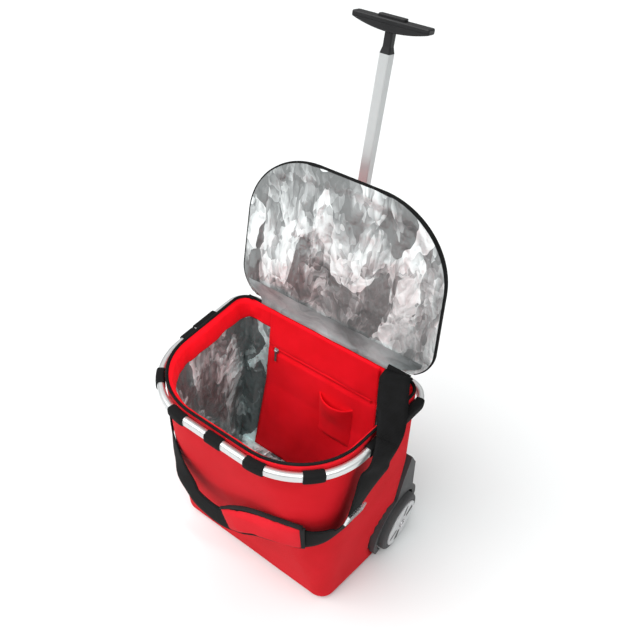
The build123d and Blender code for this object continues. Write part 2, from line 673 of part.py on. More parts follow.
def axle():
    end = WHEEL_FACE + LAYER_GAP
    nodes["axle"] = rod(AXLE_RADIUS, -end, end, *AXLE_CENTRE)
    plate_face = HOUSING_INNER + HOUSING_PLATE
    washer = rod(WASHER_RADIUS, plate_face, HUB_INNER - LAYER_GAP, *AXLE_CENTRE)
    washer -= rod(AXLE_RADIUS + AXLE_CLEARANCE, 0, HUB_INNER, *AXLE_CENTRE)
    nodes["axle_washers"] = both_sides(washer)
    cap = rod(CAP_RADIUS, end, end + CAP_LENGTH, *AXLE_CENTRE)
    cap = chamfer(cap.edges().group_by(Axis.X)[-1], CAP_LENGTH / 3)
    nodes["axle_caps"] = both_sides(cap)


def handle_at(height):
    """Place on the handle's leaning axis at a length along it."""
    foot = (0, HANDLE_FOOT_Y, 0)
    return Plane(origin=foot, x_dir=(1, 0, 0), z_dir=(0, HANDLE_LEAN, 1)) * Pos(0, 0, height)


def chassis():
    right = housing()
    nodes["wheel_housing_right"] = right
    nodes["wheel_housing_left"] = mirror(right, Plane.YZ)
    end = HOUSING_INNER - LAYER_GAP
    beam = block((-end, end), (0, BEAM_BACK), (BEAM_LOW, BEAM_HIGH))
    beam -= tub(BASE_HEIGHT, RIM_HEIGHT, -BEAM_GAP)
    hollow = block(
        (BEAM_BLOCK, end - BEAM_WALL),
        (0, BEAM_BACK - BEAM_WALL),
        (BEAM_LOW - CUT, BEAM_HIGH - BEAM_WALL),
    )
    hollow -= tub(BASE_HEIGHT, RIM_HEIGHT, -BEAM_GAP - BEAM_WALL)
    beam -= both_sides(hollow)
    beam -= rod(AXLE_RADIUS + AXLE_CLEARANCE, -REACH, REACH, *AXLE_CENTRE)
    socket = OUTER_TUBE + 2 * PLUG_GAP
    beam -= handle_at(OUTER_LOW) * extrude(RectangleRounded(socket, socket, STAGE_RADIUS), REACH)
    nodes["chassis_beam"] = beam
    lean = math.hypot(GUSSET_BACK_Y - GUSSET_HEEL_Y, GUSSET_BACK_Z - GUSSET_HEEL_Z)
    out = (
        (GUSSET_BACK_Z - GUSSET_HEEL_Z) / lean * BACK_PLATE,
        (GUSSET_HEEL_Y - GUSSET_BACK_Y) / lean * BACK_PLATE,
    )
    corners = [
        (GUSSET_BACK_Y, GUSSET_BACK_Z),
        (GUSSET_HEEL_Y, GUSSET_HEEL_Z),
        (GUSSET_HEEL_Y, BEAM_LOW),
        (BEAM_BACK + LAYER_GAP, BEAM_LOW),
        (BEAM_BACK + LAYER_GAP, BEAM_LOW + BACK_PLATE),
        (GUSSET_HEEL_Y - BACK_PLATE, BEAM_LOW + BACK_PLATE),
        (GUSSET_HEEL_Y - out[0], GUSSET_HEEL_Z - out[1]),
        (GUSSET_BACK_Y - out[0], GUSSET_BACK_Z - out[1]),
    ]
    nodes["chassis_back_plate"] = side_extrude(make_face(Polyline(*corners, close=True)), -end, end)


# Handle

def square_tube(size, low, high):
    hollow = size - 2 * STAGE_WALL
    face = RectangleRounded(size, size, STAGE_RADIUS)
    face -= RectangleRounded(hollow, hollow, STAGE_RADIUS - STAGE_WALL)
    return handle_at(low) * extrude(face, high - low)


def square_bar(size, radius, low, high):
    return handle_at(low) * extrude(RectangleRounded(size, size, radius), high - low)


def stage_plug(name, size, low):
    """Plug in a stage's lower end, with its lock pins drawn released."""
    hollow = size - 2 * STAGE_WALL - 2 * PLUG_GAP
    plug = square_bar(hollow, STAGE_RADIUS - STAGE_WALL, low, low + PLUG_LENGTH)
    middle = handle_at(low + PLUG_LENGTH / 2)
    channel = middle * Rot(0, 90, 0) * Cylinder(LOCK_PIN_RADIUS + PLUG_GAP, REACH / 10)
    reach = size / 2 - LOCK_PIN_SETBACK
    inner = ROD_RADIUS + ROD_BORE_GAP
    pin = Pos((reach + inner) / 2, 0, 0) * Rot(0, 90, 0) * Cylinder(LOCK_PIN_RADIUS, reach - inner)
    nodes[f"{name}_plug"] = plug - channel
    nodes[f"{name}_lock_pins"] = middle * both_sides(pin)
    return channel


def stages():
    nodes["handle_outer_tube"] = square_tube(OUTER_TUBE, OUTER_LOW, OUTER_HIGH)
    middle_channel = stage_plug("middle", MIDDLE_TUBE, MIDDLE_LOW)
    inner_channel = stage_plug("inner", INNER_TUBE, INNER_LOW)
    nodes["middle_tube"] = square_tube(MIDDLE_TUBE, MIDDLE_LOW, MIDDLE_HIGH) - middle_channel
    nodes["inner_tube"] = square_tube(INNER_TUBE, INNER_LOW, INNER_HIGH) - inner_channel
    collar_low = MIDDLE_HIGH + COLLAR_LIP - COLLAR_HEIGHT
    seat = MIDDLE_TUBE + 2 * PLUG_GAP
    collar = square_bar(seat + 2 * COLLAR_WALL, STAGE_RADIUS, collar_low, MIDDLE_HIGH + COLLAR_LIP)
    collar -= square_bar(seat, STAGE_RADIUS, collar_low - CUT, MIDDLE_HIGH)
    collar -= square_bar(INNER_TUBE + 2 * STAGE_GAP, STAGE_RADIUS, MIDDLE_HIGH - CUT, REACH)
    nodes["middle_collar"] = collar


def bracket():
    """Clamp that ties the outer tube's top to the hoop, and its two screws."""
    top = OUTER_HIGH + BRACKET_LIP
    seat = OUTER_TUBE + 2 * PLUG_GAP
    deep = seat / 2 + COLLAR_WALL
    hoop_back = back_line(HOOP_HEIGHT)[0] + HOOP_GAP + HOOP_DEPTH + LAYER_GAP
    face = Pos(0, deep - REACH / 40) * RectangleRounded(2 * BRACKET_HALF, REACH / 20, STAGE_RADIUS)
    body = handle_at(top - BRACKET_HEIGHT) * extrude(face, BRACKET_HEIGHT)
    body &= block((-REACH, REACH), (hoop_back, REACH), (0, REACH))
    body -= square_bar(seat, STAGE_RADIUS, 0, OUTER_HIGH)
    body -= square_bar(MIDDLE_TUBE + 2 * STAGE_GAP, STAGE_RADIUS, OUTER_HIGH - CUT, REACH)
    screw_x = (BRACKET_HALF + seat / 2) / 2
    screws = []
    for side in (-1, 1):
        place = handle_at(top - BRACKET_HEIGHT / 2) * Pos(side * screw_x, deep, 0) * Rot(-90, 0, 0)
        head = Pos(0, 0, SCREW_HEAD_HEIGHT / 2) * Cylinder(SCREW_HEAD, SCREW_HEAD_HEIGHT)
        shank = Pos(0, 0, -SCREW_LENGTH / 2) * Cylinder(SCREW_SHANK, SCREW_LENGTH)
        room = Pos(0, 0, -SCREW_LENGTH / 2) * Cylinder(SCREW_SHANK + PLUG_GAP, SCREW_LENGTH + CUT)
        screws.append(place * (head + shank))
        body -= place * room
    nodes["handle_bracket"] = body
    nodes["bracket_screws"] = Compound(screws)


def grip():
    """T grip in two shells on a neck, with a sprung button that works the push rod."""
    half = GRIP_LENGTH / 2
    top = GRIP_TOP
    low_end = top - GRIP_END
    edges = [
        Line((-half, top), (half, top)),
        Line((half, top), (half, low_end)),
        ThreePointArc((half, low_end), (0, top - GRIP_TALL), (-half, low_end)),
        Line((-half, low_end), (-half, top)),
    ]
    bar = Plane.XZ * Pos(0, 0, -GRIP_DEPTH / 2) * extrude(make_face(edges), GRIP_DEPTH)
    bar = fillet(bar.edges(), GRIP_FILLET)
    split = top - GRIP_SPLIT
    button_low = top - BUTTON_BODY
    floor = button_low - BUTTON_TRAVEL - BUTTON_GAP
    pocket = Pos(0, 0, (floor + REACH) / 2) * Box(
        BUTTON_LENGTH + 2 * BUTTON_GAP, BUTTON_DEPTH + 2 * BUTTON_GAP, REACH - floor
    )
    upper = (bar & Pos(0, 0, split + REACH / 2) * Box(REACH, REACH, REACH)) - pocket
    lower = bar & Pos(0, 0, split - LAYER_GAP - REACH / 2) * Box(REACH, REACH, REACH)
    neck_high = top - GRIP_TALL / 2
    flare = loft([
        Pos(0, 0, INNER_HIGH) * RectangleRounded(INNER_TUBE, INNER_TUBE, STAGE_RADIUS),
        Pos(0, 0, INNER_HIGH + NECK_FLARE) * RectangleRounded(NECK_WIDTH, NECK_WIDTH, STAGE_RADIUS),
    ])
    stem_low = INNER_HIGH + NECK_FLARE
    stem_face = RectangleRounded(NECK_WIDTH, NECK_WIDTH, STAGE_RADIUS)
    stem = Pos(0, 0, stem_low) * extrude(stem_face, neck_high - stem_low)
    spigot_size = INNER_TUBE - 2 * STAGE_WALL - 2 * PLUG_GAP
    spigot = Pos(0, 0, INNER_HIGH - PLUG_LENGTH) * extrude(
        RectangleRounded(spigot_size, spigot_size, STAGE_RADIUS - STAGE_WALL), PLUG_LENGTH
    )
    bore = Pos(0, 0, REACH / 2) * Cylinder(ROD_RADIUS + ROD_BORE_GAP, REACH)
    spring_low = neck_high - BUTTON_TRAVEL
    well_room = Cylinder(SPRING_OUTER + BUTTON_GAP, REACH - spring_low)
    well_room = Pos(0, 0, (spring_low + REACH) / 2) * well_room
    lower = lower + flare + stem + spigot - bore - well_room - pocket
    along = handle_at(0)
    nodes["grip_upper"] = along * upper
    nodes["grip_lower"] = along * lower
    cap = Pos(0, 0, button_low) * extrude(
        RectangleRounded(BUTTON_LENGTH, BUTTON_DEPTH, BUTTON_DEPTH / 3), BUTTON_BODY + BUTTON_RISE
    )
    cap = fillet(cap.edges().group_by(Axis.Z)[-1], BUTTON_RISE / 3)
    nodes["release_button"] = along * cap
    rod_low = INNER_LOW + PLUG_LENGTH + BUTTON_TRAVEL + BUTTON_GAP
    push = Pos(0, 0, (rod_low + button_low) / 2) * Cylinder(ROD_RADIUS, button_low - rod_low)
    nodes["push_rod"] = along * push
    coil_height = button_low - LAYER_GAP - spring_low
    coil = Cylinder(SPRING_OUTER, coil_height) - Cylinder(SPRING_INNER, coil_height + CUT)
    nodes["button_spring"] = along * Pos(0, 0, spring_low + coil_height / 2) * coil
    screw_x = (BUTTON_LENGTH / 2 + half) / 2
    screws = []
    for side in (-1, 1):
        place = Pos(side * screw_x, 0, split - LAYER_GAP / 2)
        shank = Cylinder(SCREW_SHANK, GRIP_SPLIT)
        room = Cylinder(SCREW_SHANK + PLUG_GAP, GRIP_SPLIT + CUT)
        screws.append(along * place * shank)
        nodes["grip_upper"] = nodes["grip_upper"] - along * place * room
        nodes["grip_lower"] = nodes["grip_lower"] - along * place * room
    nodes["grip_screws"] = Compound(screws)


bag_tubs()
bag_bottom()
back_panel()
slip_pocket()
POCKET_PIN_Y = zip_slider("pocket_zip", POCKET_SLIDER_X, POCKET_SLIDER_Y, POCKET_ZIP_HEIGHT)
RIM_PIN_Y = zip_slider("rim_zip", RIM_SLIDER_X, RIM_SLIDER_Y, RIM_SLIDER_Z)
hoop()
hoop_loops()
strap()
lid()
hinge()
for wheel_side in (-1, 1):
    wheel(wheel_side)
axle()
chassis()
stages()
bracket()
grip()

# The origin goes to the middle of the footprint, on the floor
everything = Compound([solid for piece in nodes.values() for solid in piece.solids()]).bounding_box()
ORIGIN = (
    (everything.min.X + everything.max.X) / 2,
    (everything.min.Y + everything.max.Y) / 2,
    everything.min.Z,
)
print("origin shift", [round(value, 4) for value in ORIGIN], "size", everything.size)

os.makedirs("parts", exist_ok=True)
for node_name, node_shape in nodes.items():
    placed = Pos(-ORIGIN[0], -ORIGIN[1], -ORIGIN[2]) * Compound(node_shape.solids())
    export_step(placed, f"parts/{node_name}.step")
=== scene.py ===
import math

import bmesh
import bpy
from mathutils import Matrix, Vector, noise


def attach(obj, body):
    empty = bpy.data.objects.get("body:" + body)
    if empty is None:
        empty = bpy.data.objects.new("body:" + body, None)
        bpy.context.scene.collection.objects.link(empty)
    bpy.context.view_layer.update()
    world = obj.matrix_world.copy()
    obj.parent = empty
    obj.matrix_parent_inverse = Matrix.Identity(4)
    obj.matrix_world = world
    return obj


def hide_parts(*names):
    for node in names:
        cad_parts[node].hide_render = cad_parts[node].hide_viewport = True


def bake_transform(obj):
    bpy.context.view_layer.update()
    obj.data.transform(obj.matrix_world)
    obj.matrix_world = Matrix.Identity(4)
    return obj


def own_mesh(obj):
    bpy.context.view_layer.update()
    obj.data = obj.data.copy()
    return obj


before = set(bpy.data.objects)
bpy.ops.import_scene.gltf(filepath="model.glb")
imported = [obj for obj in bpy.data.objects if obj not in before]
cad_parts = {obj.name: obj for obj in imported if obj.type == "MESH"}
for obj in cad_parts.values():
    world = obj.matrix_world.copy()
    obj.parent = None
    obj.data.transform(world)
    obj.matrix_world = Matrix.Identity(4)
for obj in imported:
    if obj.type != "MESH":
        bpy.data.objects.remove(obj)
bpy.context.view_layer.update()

# Sizes in millimetres on the part's own drawing axes: X right, Y back, Z up.
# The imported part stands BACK_SHIFT further forward.
MM = 0.001
BACK_SHIFT = 12.8124
RIM_HEIGHT, SHELL_TOP, WAIST_HEIGHT, BASE_HEIGHT = 445.0, 442.0, 254.0, 8.0
RIM_BACK_HALF, RIM_FRONT_HALF, RIM_FRONT_Y, RIM_BACK_Y = 196.0, 173.0, -168.0, 119.5
RIM_FRONT_RADIUS, RIM_BACK_RADIUS = 126.0, 30.0
WAIST_BACK_Y, WAIST_BACK_RADIUS = 127.0, 14.0
BASE_BACK_HALF, BASE_FRONT_HALF, BASE_FRONT_Y, BASE_BACK_Y = 204.0, 178.0, -82.0, 104.0
BASE_FRONT_RADIUS, BASE_BACK_RADIUS = 30.0, 14.0
BACK_STEPS, BACK_BEND_STEPS, SIDE_STEPS, FRONT_BEND_STEPS, FRONT_STEPS = 14, 8, 16, 18, 12
FACING_LOW = 399.0
LINER_INSET, LINER_FLOOR = 8.2, 63.0
PANEL_INSET = 10.2
PANEL_TOP_HALF, PANEL_FOOT_HALF, PANEL_REACH = 117.0, 141.0, 150.0
ZIP_SEAM_Z, ZIP_HALF = 352.0, 112.0
POCKET_TOP, POCKET_FOOT, POCKET_X, POCKET_HALF = 305.0, 207.0, 42.0, 38.0
FLOOR_MIDDLE_Y, LID_MIDDLE_Y = 10.0, -20.0
HOOP_HEIGHT, HOOP_MIDDLE = 426.0, 9.0
HINGE_Y, HINGE_Z, LID_ANGLE, LID_CORNER = 121.0, 446.5, 91.6, 54.0
WHEEL_Y, WHEEL_RADIUS, ARCH_RADIUS, WELL_FACE = 125.0, 63.0, 81.0, 183.0
GUSSET = [(117, 195), (131, 254), (157, 215), (187, 78), (187, 63), (100, 63)]
FOIL_WELL_FACE, FOIL_WELL_GROW = WELL_FACE - 3.0, 16.0
WEBBING_HALF = 25.0


def at(x, y, z):
    """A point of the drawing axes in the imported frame, in metres."""
    return Vector((x, y - BACK_SHIFT, z)) * MM


def mix(low, high, share):
    """The value at a share of the way from low to high."""
    return low + (high - low) * share


def ease(low, high, value):
    """0 up to low and 1 from high on, smooth between. low may be the larger of the two."""
    share = min(max((value - low) / (high - low), 0.0), 1.0)
    return share * share * (3.0 - 2.0 * share)


def squared(value, power):
    """A sine or cosine bent towards its limits, for sections between round and square."""
    return math.copysign(abs(value) ** power, value)


# Outline of the bag


def back_line(height):
    """Depth and corner radius of the bag's back at a height."""
    if height <= WAIST_HEIGHT:
        share = (height - BASE_HEIGHT) / (WAIST_HEIGHT - BASE_HEIGHT)
        return mix(BASE_BACK_Y, WAIST_BACK_Y, share), mix(BASE_BACK_RADIUS, WAIST_BACK_RADIUS, share)
    share = (height - WAIST_HEIGHT) / (RIM_HEIGHT - WAIST_HEIGHT)
    return mix(WAIST_BACK_Y, RIM_BACK_Y, share), mix(WAIST_BACK_RADIUS, RIM_BACK_RADIUS, share)


def bag_outline(height, inset=0.0, fine=1, corner=None):
    """The D outline at a height, from the back's middle round by the right side.

    inset draws it in, fine multiplies its points and corner sets another radius for the back corners.
    """
    share = (height - BASE_HEIGHT) / (RIM_HEIGHT - BASE_HEIGHT)
    back_half = mix(BASE_BACK_HALF, RIM_BACK_HALF, share)
    front_half = mix(BASE_FRONT_HALF, RIM_FRONT_HALF, share)
    front_y = mix(BASE_FRONT_Y, RIM_FRONT_Y, share)
    back_y, back_radius = back_line(height)
    front_radius = max(mix(BASE_FRONT_RADIUS, RIM_FRONT_RADIUS, share) - inset, 1.0)
    back_radius = max((corner or back_radius) - inset, 1.0)
    slope = (back_half - front_half) / (back_y - front_y)
    draw = inset * math.hypot(1.0, slope)
    back_corner = Vector((back_half - slope * inset - draw, back_y - inset))
    front_corner = Vector((front_half + slope * inset - draw, front_y + inset))
    side = (front_corner - back_corner).normalized()
    turn = math.acos(side.x)
    back_cut = back_radius * math.tan(turn / 2)
    front_cut = front_radius * math.tan((math.pi - turn) / 2)
    back_centre = Vector((back_corner.x - back_cut, back_corner.y - back_radius))
    front_centre = Vector((front_corner.x - front_cut, front_corner.y + front_radius))
    points = []

    def straight(start, end, steps):
        points.extend(start.lerp(end, step / steps) for step in range(1, steps + 1))

    def bend(centre, radius, start, sweep, steps):
        for step in range(1, steps + 1):
            angle = start - sweep * step / steps
            points.append(centre + radius * Vector((math.cos(angle), math.sin(angle))))

    quarter = math.pi / 2
    points.append(Vector((0.0, back_corner.y)))
    straight(points[0], Vector((back_corner.x - back_cut, back_corner.y)), BACK_STEPS * fine)
    bend(back_centre, back_radius, quarter, turn, BACK_BEND_STEPS * fine)
    straight(points[-1], front_corner - side * front_cut, SIDE_STEPS * fine)
    bend(front_centre, front_radius, quarter - turn, math.pi - turn, FRONT_BEND_STEPS * fine)
    straight(points[-1], Vector((0.0, front_corner.y)), FRONT_STEPS * fine)
    left = [Vector((-point.x, point.y)) for point in reversed(points[1:-1])]
    return points + left


def in_well(y, z, grow=0.0):
    """True where a wheel housing lies against the bag's side. grow widens its arch and moves its gusset back."""
    if math.hypot(y - WHEEL_Y, z - WHEEL_RADIUS) < ARCH_RADIUS + grow:
        return True
    inside = False
    last = GUSSET[-1]
    for here in GUSSET:
        if (here[1] > z) != (last[1] > z):
            cross = (last[0] - here[0]) * (z - here[1]) / (last[1] - here[1]) + here[0]
            inside ^= y < cross + grow
        last = here
    return inside


def tuck(point, face=WELL_FACE, grow=0.0):
    """Draws a wall point in behind the wheel housing."""
    if abs(point.x) > face and in_well(point.y, point.z, grow):
        point.x = math.copysign(face, point.x)
    return point


def outward_at(outline, index):
    """The outward direction of a plan outline at one of its points."""
    before, after = outline[index - 1], outline[(index + 1) % len(outline)]
    out = (after - before).orthogonal().normalized()
    return -out if out.dot(outline[index]) < 0 else out


def drawn_in(point, share, middle_y):
    """Plan place of a point at a share of its distance from a middle."""
    return point.x * share, (point.y - middle_y) * share + middle_y


def off_panel(point, start, end):
    """0 on the red back panel, 1 on the side walls, and rising from depth start to end between them."""
    return ease(start, end, point.y) if abs(point.x) < PANEL_REACH else 1.0


# Mesh building


def lofted(rings, cyclic=True, ends=(False, False)):
    """A bmesh skin through rings of points in drawing axes, with UVs in metres along and across."""
    skin = bmesh.new()
    place = skin.verts.layers.int.new("place")
    row = skin.verts.layers.int.new("row")
    count = len(rings[0])
    bmesh.ops.create_circle(skin, segments=count, radius=1.0)
    skin.verts.ensure_lookup_table()
    for index, vert in enumerate(skin.verts):
        vert[place] = index
        vert.co = at(*rings[0][index])
    if not cyclic:
        closing = [edge for edge in skin.edges if {vert[place] for vert in edge.verts} == {0, count - 1}]
        bmesh.ops.delete(skin, geom=closing, context="EDGES")
    edges = list(skin.edges)
    first = list(edges)
    for number, ring in enumerate(rings[1:], 1):
        made = bmesh.ops.extrude_edge_only(skin, edges=edges)["geom"]
        fresh = {item for item in made if isinstance(item, bmesh.types.BMVert)}
        for vert in fresh:
            vert[row] = number
            vert.co = at(*ring[vert[place]])
        edges = [
            item for item in made
            if isinstance(item, bmesh.types.BMEdge) and item.verts[0] in fresh and item.verts[1] in fresh
        ]
    along = [0.0]
    longest = max(rings, key=lambda ring: sum((ring[i] - ring[i - 1]).length for i in range(1, count)))
    for index in range(count):
        along.append(along[-1] + (longest[(index + 1) % count] - longest[index]).length * MM)
    across = [0.0]
    for number in range(1, len(rings)):
        step = sum((rings[number][i] - rings[number - 1][i]).length for i in range(count)) / count
        across.append(across[-1] + step * MM)
    uv = skin.loops.layers.uv.new("UVMap")
    for face in skin.faces:
        places = {vert[place] for vert in face.verts}
        wraps = 0 in places and count - 1 in places and count > 3
        for loop in face.loops:
            index = loop.vert[place]
            if wraps and index == 0:
                index = count
            loop[uv].uv = (along[index], across[loop.vert[row]])
    for wanted, loop_edges in zip(ends, (first, edges)):
        if wanted:
            bmesh.ops.contextual_create(skin, geom=loop_edges)
    return skin


def piece(name, skin, material, body, outward=None, solid=0.0, levels=0, sharp=None):
    """Turns a bmesh into a finished object on a body.

    outward is a drawing point that faces look away from, solid a cloth thickness in millimetres, levels the
    rounds of subdivision and sharp the angle in degrees from which edges stay sharp.
    """
    if outward is None:
        bmesh.ops.recalc_face_normals(skin, faces=skin.faces)
    else:
        centre = at(*outward)
        for face in skin.faces:
            if face.normal.length < 1e-9:
                face.normal_update()
        votes = sum(face.normal.dot(face.calc_center_median() - centre) * face.calc_area() for face in skin.faces)
        if votes < 0:
            bmesh.ops.reverse_faces(skin, faces=skin.faces)
    for face in skin.faces:
        face.smooth = True
    mesh = bpy.data.meshes.new(name)
    skin.to_mesh(mesh)
    skin.free()
    if sharp is not None:
        mesh.set_sharp_from_angle(angle=math.radians(sharp))
    made = bpy.data.objects.new(name, mesh)
    bpy.context.scene.collection.objects.link(made)
    mesh.materials.append(material)
    if solid:
        thick = made.modifiers.new("cloth_thickness", "SOLIDIFY")
        thick.thickness = abs(solid) * MM
        thick.offset = math.copysign(1.0, solid)
        thick.use_even_offset = False
    if levels:
        soft = made.modifiers.new("soft", "SUBSURF")
        soft.levels = levels
        soft.render_levels = levels
    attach(made, body)
    return made


def three(points, height):
    """Plan points at a height."""
    return [Vector((point.x, point.y, height)) for point in points]


def flowing(stations, steps):
    """Smooth rows through stations of equal-length vectors, end to end."""
    rows = []
    last = len(stations) - 1
    for index in range(last):
        a, b, c, d = (stations[min(max(index + k, 0), last)] for k in (-1, 0, 1, 2))
        for step in range(steps):
            t = step / steps
            rows.append([
                0.5 * (2 * q + (r - p) * t + (2 * p - 5 * q + 4 * r - s) * t * t + (3 * q - p - 3 * r + s) * t ** 3)
                for p, q, r, s in zip(a, b, c, d)
            ])
    rows.append(list(stations[last]))
    return rows


# Materials


def shader(name):
    """A new material, its node tree and its surface node."""
    material = bpy.data.materials.new(name)
    material.use_nodes = True
    return material, material.node_tree, material.node_tree.nodes["Principled BSDF"]


def wire(tree, node, sockets):
    """Links or sets a node's inputs."""
    for key, value in sockets.items():
        if isinstance(value, bpy.types.NodeSocket):
            tree.links.new(value, node.inputs[key])
        else:
            node.inputs[key].default_value = value


def add(tree, kind, sockets=None, **settings):
    """A new node with its settings and inputs."""
    made = tree.nodes.new(kind)
    for key, value in settings.items():
        setattr(made, key, value)
    wire(tree, made, sockets or {})
    return made


def coordinates(tree, kind, scale=(1, 1, 1), turn=(0, 0, 0)):
    """Texture coordinates in metres, scaled and turned."""
    source = add(tree, "ShaderNodeTexCoord")
    place = {"Vector": source.outputs[kind], "Scale": scale, "Rotation": turn}
    return add(tree, "ShaderNodeMapping", place).outputs["Vector"]


def tones(tree, factor, stops):
    """A colour ramp through stops of (place, colour)."""
    ramp = add(tree, "ShaderNodeValToRGB", {"Fac": factor})
    ends = ramp.color_ramp.elements
    for end, (position, colour) in zip(ends, (stops[0], stops[-1])):
        end.position, end.color = position, (*colour, 1)
    for position, colour in stops[1:-1]:
        ends.new(position).color = (*colour, 1)
    return ramp.outputs["Color"]


def clouds(tree, vector, scale, detail, rough=0.5, output="Fac"):
    """Cloudy noise with so many lumps to the metre."""
    sockets = {"Vector": vector, "Scale": scale, "Detail": detail, "Roughness": rough}
    return add(tree, "ShaderNodeTexNoise", sockets).outputs[output]


def ridges(tree, vector, pitch, direction):
    """Parallel ridges of a pitch in millimetres."""
    scale = 1000.0 / pitch / 20.0 * 2 * math.pi
    return add(tree, "ShaderNodeTexWave", {"Vector": vector, "Scale": scale}, bands_direction=direction).outputs["Fac"]


def spread(tree, factor, low, high):
    """A noise's middle range stretched from low to high."""
    return add(tree, "ShaderNodeMapRange", {
        "Value": factor, "From Min": 0.3, "From Max": 0.7, "To Min": low, "To Max": high,
    }).outputs["Result"]


def vector_math(tree, operation, first, second):
    """The outputs of a vector operation on two inputs."""
    return add(tree, "ShaderNodeVectorMath", {0: first, 1: second}, operation=operation).outputs


def bumped(tree, height, strength, distance, normal=None):
    """A normal bent by a height, on top of another normal."""
    sockets = {"Height": height, "Strength": strength, "Distance": distance}
    if normal is not None:
        sockets["Normal"] = normal
    return add(tree, "ShaderNodeBump", sockets).outputs["Normal"]


def woven(name, lit, shade, pitch=0.7, kind="UV", turn=(0, 0, 0)):
    """Plain-weave cloth: crossing threads of a pitch in millimetres, and soft tone changes."""
    material, tree, skin = shader(name)
    metres = coordinates(tree, kind, turn=turn)
    warp, weft = ridges(tree, metres, pitch, "X"), ridges(tree, metres, pitch, "Y")
    threads = add(tree, "ShaderNodeMath", {0: warp, 1: weft}, operation="MULTIPLY").outputs[0]
    creased = bumped(tree, clouds(tree, metres, 26.0, 4.0), 0.12, 0.006)
    wire(tree, skin, {
        "Base Color": tones(tree, clouds(tree, metres, 16.0, 4.0), [(0.32, shade), (0.62, lit)]),
        "Normal": bumped(tree, threads, 0.25, 0.0004, creased),
        "Roughness": 0.8, "Sheen Weight": 0.012, "Sheen Roughness": 0.5, "Specular IOR Level": 0.08,
    })
    return material


def ribbed(name, lit, shade, pitch=2.2, direction="Y"):
    """Webbing or zip tape with ribs across its length."""
    material, tree, skin = shader(name)
    metres = coordinates(tree, "UV")
    wire(tree, skin, {
        "Base Color": tones(tree, clouds(tree, metres, 40.0, 3.0), [(0.35, shade), (0.65, lit)]),
        "Normal": bumped(tree, ridges(tree, metres, pitch, direction), 0.5, 0.0006),
        "Roughness": 0.8, "Specular IOR Level": 0.12,
    })
    return material


# Facets of the foil from broad to fine: how many to the metre, gain of their painted shade, depth of their bump
FOIL_FACETS = ((11.0, 15.0, 0.35), (30.0, 20.0, 0.3), (90.0, 44.0, 0.25))
# Painted greys of the foil, from facets in painted shade to painted highlights: place on the painted shading, grey
FOIL_PAINTED_GREYS = ((0.2, 0.1), (0.36, 0.19), (0.5, 0.36), (0.62, 0.62), (0.78, 0.95))
FOIL_WARP = (0.09, 0.09, 0.09)


def crinkled_foil(name, rough, fold, stretch, tone, metal, curve):
    """Metallised film: creased facets, each with painted shade and highlight across it in its own direction, and fine
    wrinkles.

    fold is how deep it is crumpled, stretch the facets' shape, tone a tint that scales its painted greys and is cyan
    against the red light the foil reflects, and curve the power of its painted greys.
    """
    material, tree, skin = shader(name)
    metres = coordinates(tree, "Object", stretch)
    bend = clouds(tree, metres, 8.0, 4.0, 0.6, "Color")
    swing = vector_math(tree, "MULTIPLY", bend, FOIL_WARP)["Vector"]
    warped = vector_math(tree, "ADD", metres, swing)["Vector"]
    broad = clouds(tree, warped, 16.0, 8.0, 0.62)
    # The base colour is painted light: level sums painted shade and highlight from broad lumps and from each facet's
    # tilt.
    level = spread(tree, broad, 0.22, 0.78)
    normal = bumped(tree, broad, 0.5 * fold, 0.02)
    for scale, shade_gain, depth in FOIL_FACETS:
        facets = add(tree, "ShaderNodeTexVoronoi", {"Vector": warped, "Scale": scale}, feature="F1")
        reach = vector_math(tree, "SUBTRACT", warped, facets.outputs["Position"])["Vector"]
        lean = vector_math(tree, "SUBTRACT", facets.outputs["Color"], (0.5, 0.5, 0.5))["Vector"]
        tilt = vector_math(tree, "DOT_PRODUCT", reach, lean)["Value"]
        level = add(tree, "ShaderNodeMath", {0: tilt, 1: shade_gain * fold, 2: level}, operation="MULTIPLY_ADD").outputs[0]
        normal = bumped(tree, tilt, depth * fold, 1.0, normal)
    stops = [(place, [grey ** curve * part for part in tone]) for place, grey in FOIL_PAINTED_GREYS]
    wire(tree, skin, {
        "Base Color": tones(tree, level, stops),
        "Normal": bumped(tree, clouds(tree, warped, 110.0, 5.0, 0.65), 0.2 * fold, 0.003, normal),
        "Roughness": rough, "Metallic": metal,
    })
    return material


def moulded(name, colour, rough=0.5, grain=900.0, depth=0.12, metal=0.0, specular=0.5):
    """Plastic or rubber with a fine moulded grain."""
    material, tree, skin = shader(name)
    metres = coordinates(tree, "Object")
    patches = clouds(tree, metres, 30.0, 4.0)
    shade = tuple(value * 0.82 for value in colour)
    wire(tree, skin, {
        "Base Color": tones(tree, patches, [(0.3, shade), (0.6, colour)]),
        "Roughness": spread(tree, patches, rough - 0.05, rough + 0.07),
        "Normal": bumped(tree, clouds(tree, metres, grain, 2.0), depth, 0.0004),
        "Metallic": metal, "Specular IOR Level": specular,
    })
    return material


def drawn_metal(name, colour, rough, stretch, metal=1.0):
    """Drawn or brushed metal with fine lines along its length."""
    material, tree, skin = shader(name)
    lines = clouds(tree, coordinates(tree, "Object", stretch), 300.0, 3.0)
    wire(tree, skin, {
        "Base Color": (*colour, 1), "Metallic": metal,
        "Roughness": spread(tree, lines, rough - 0.05, rough + 0.08),
        "Normal": bumped(tree, lines, 0.05, 0.0003),
    })
    return material


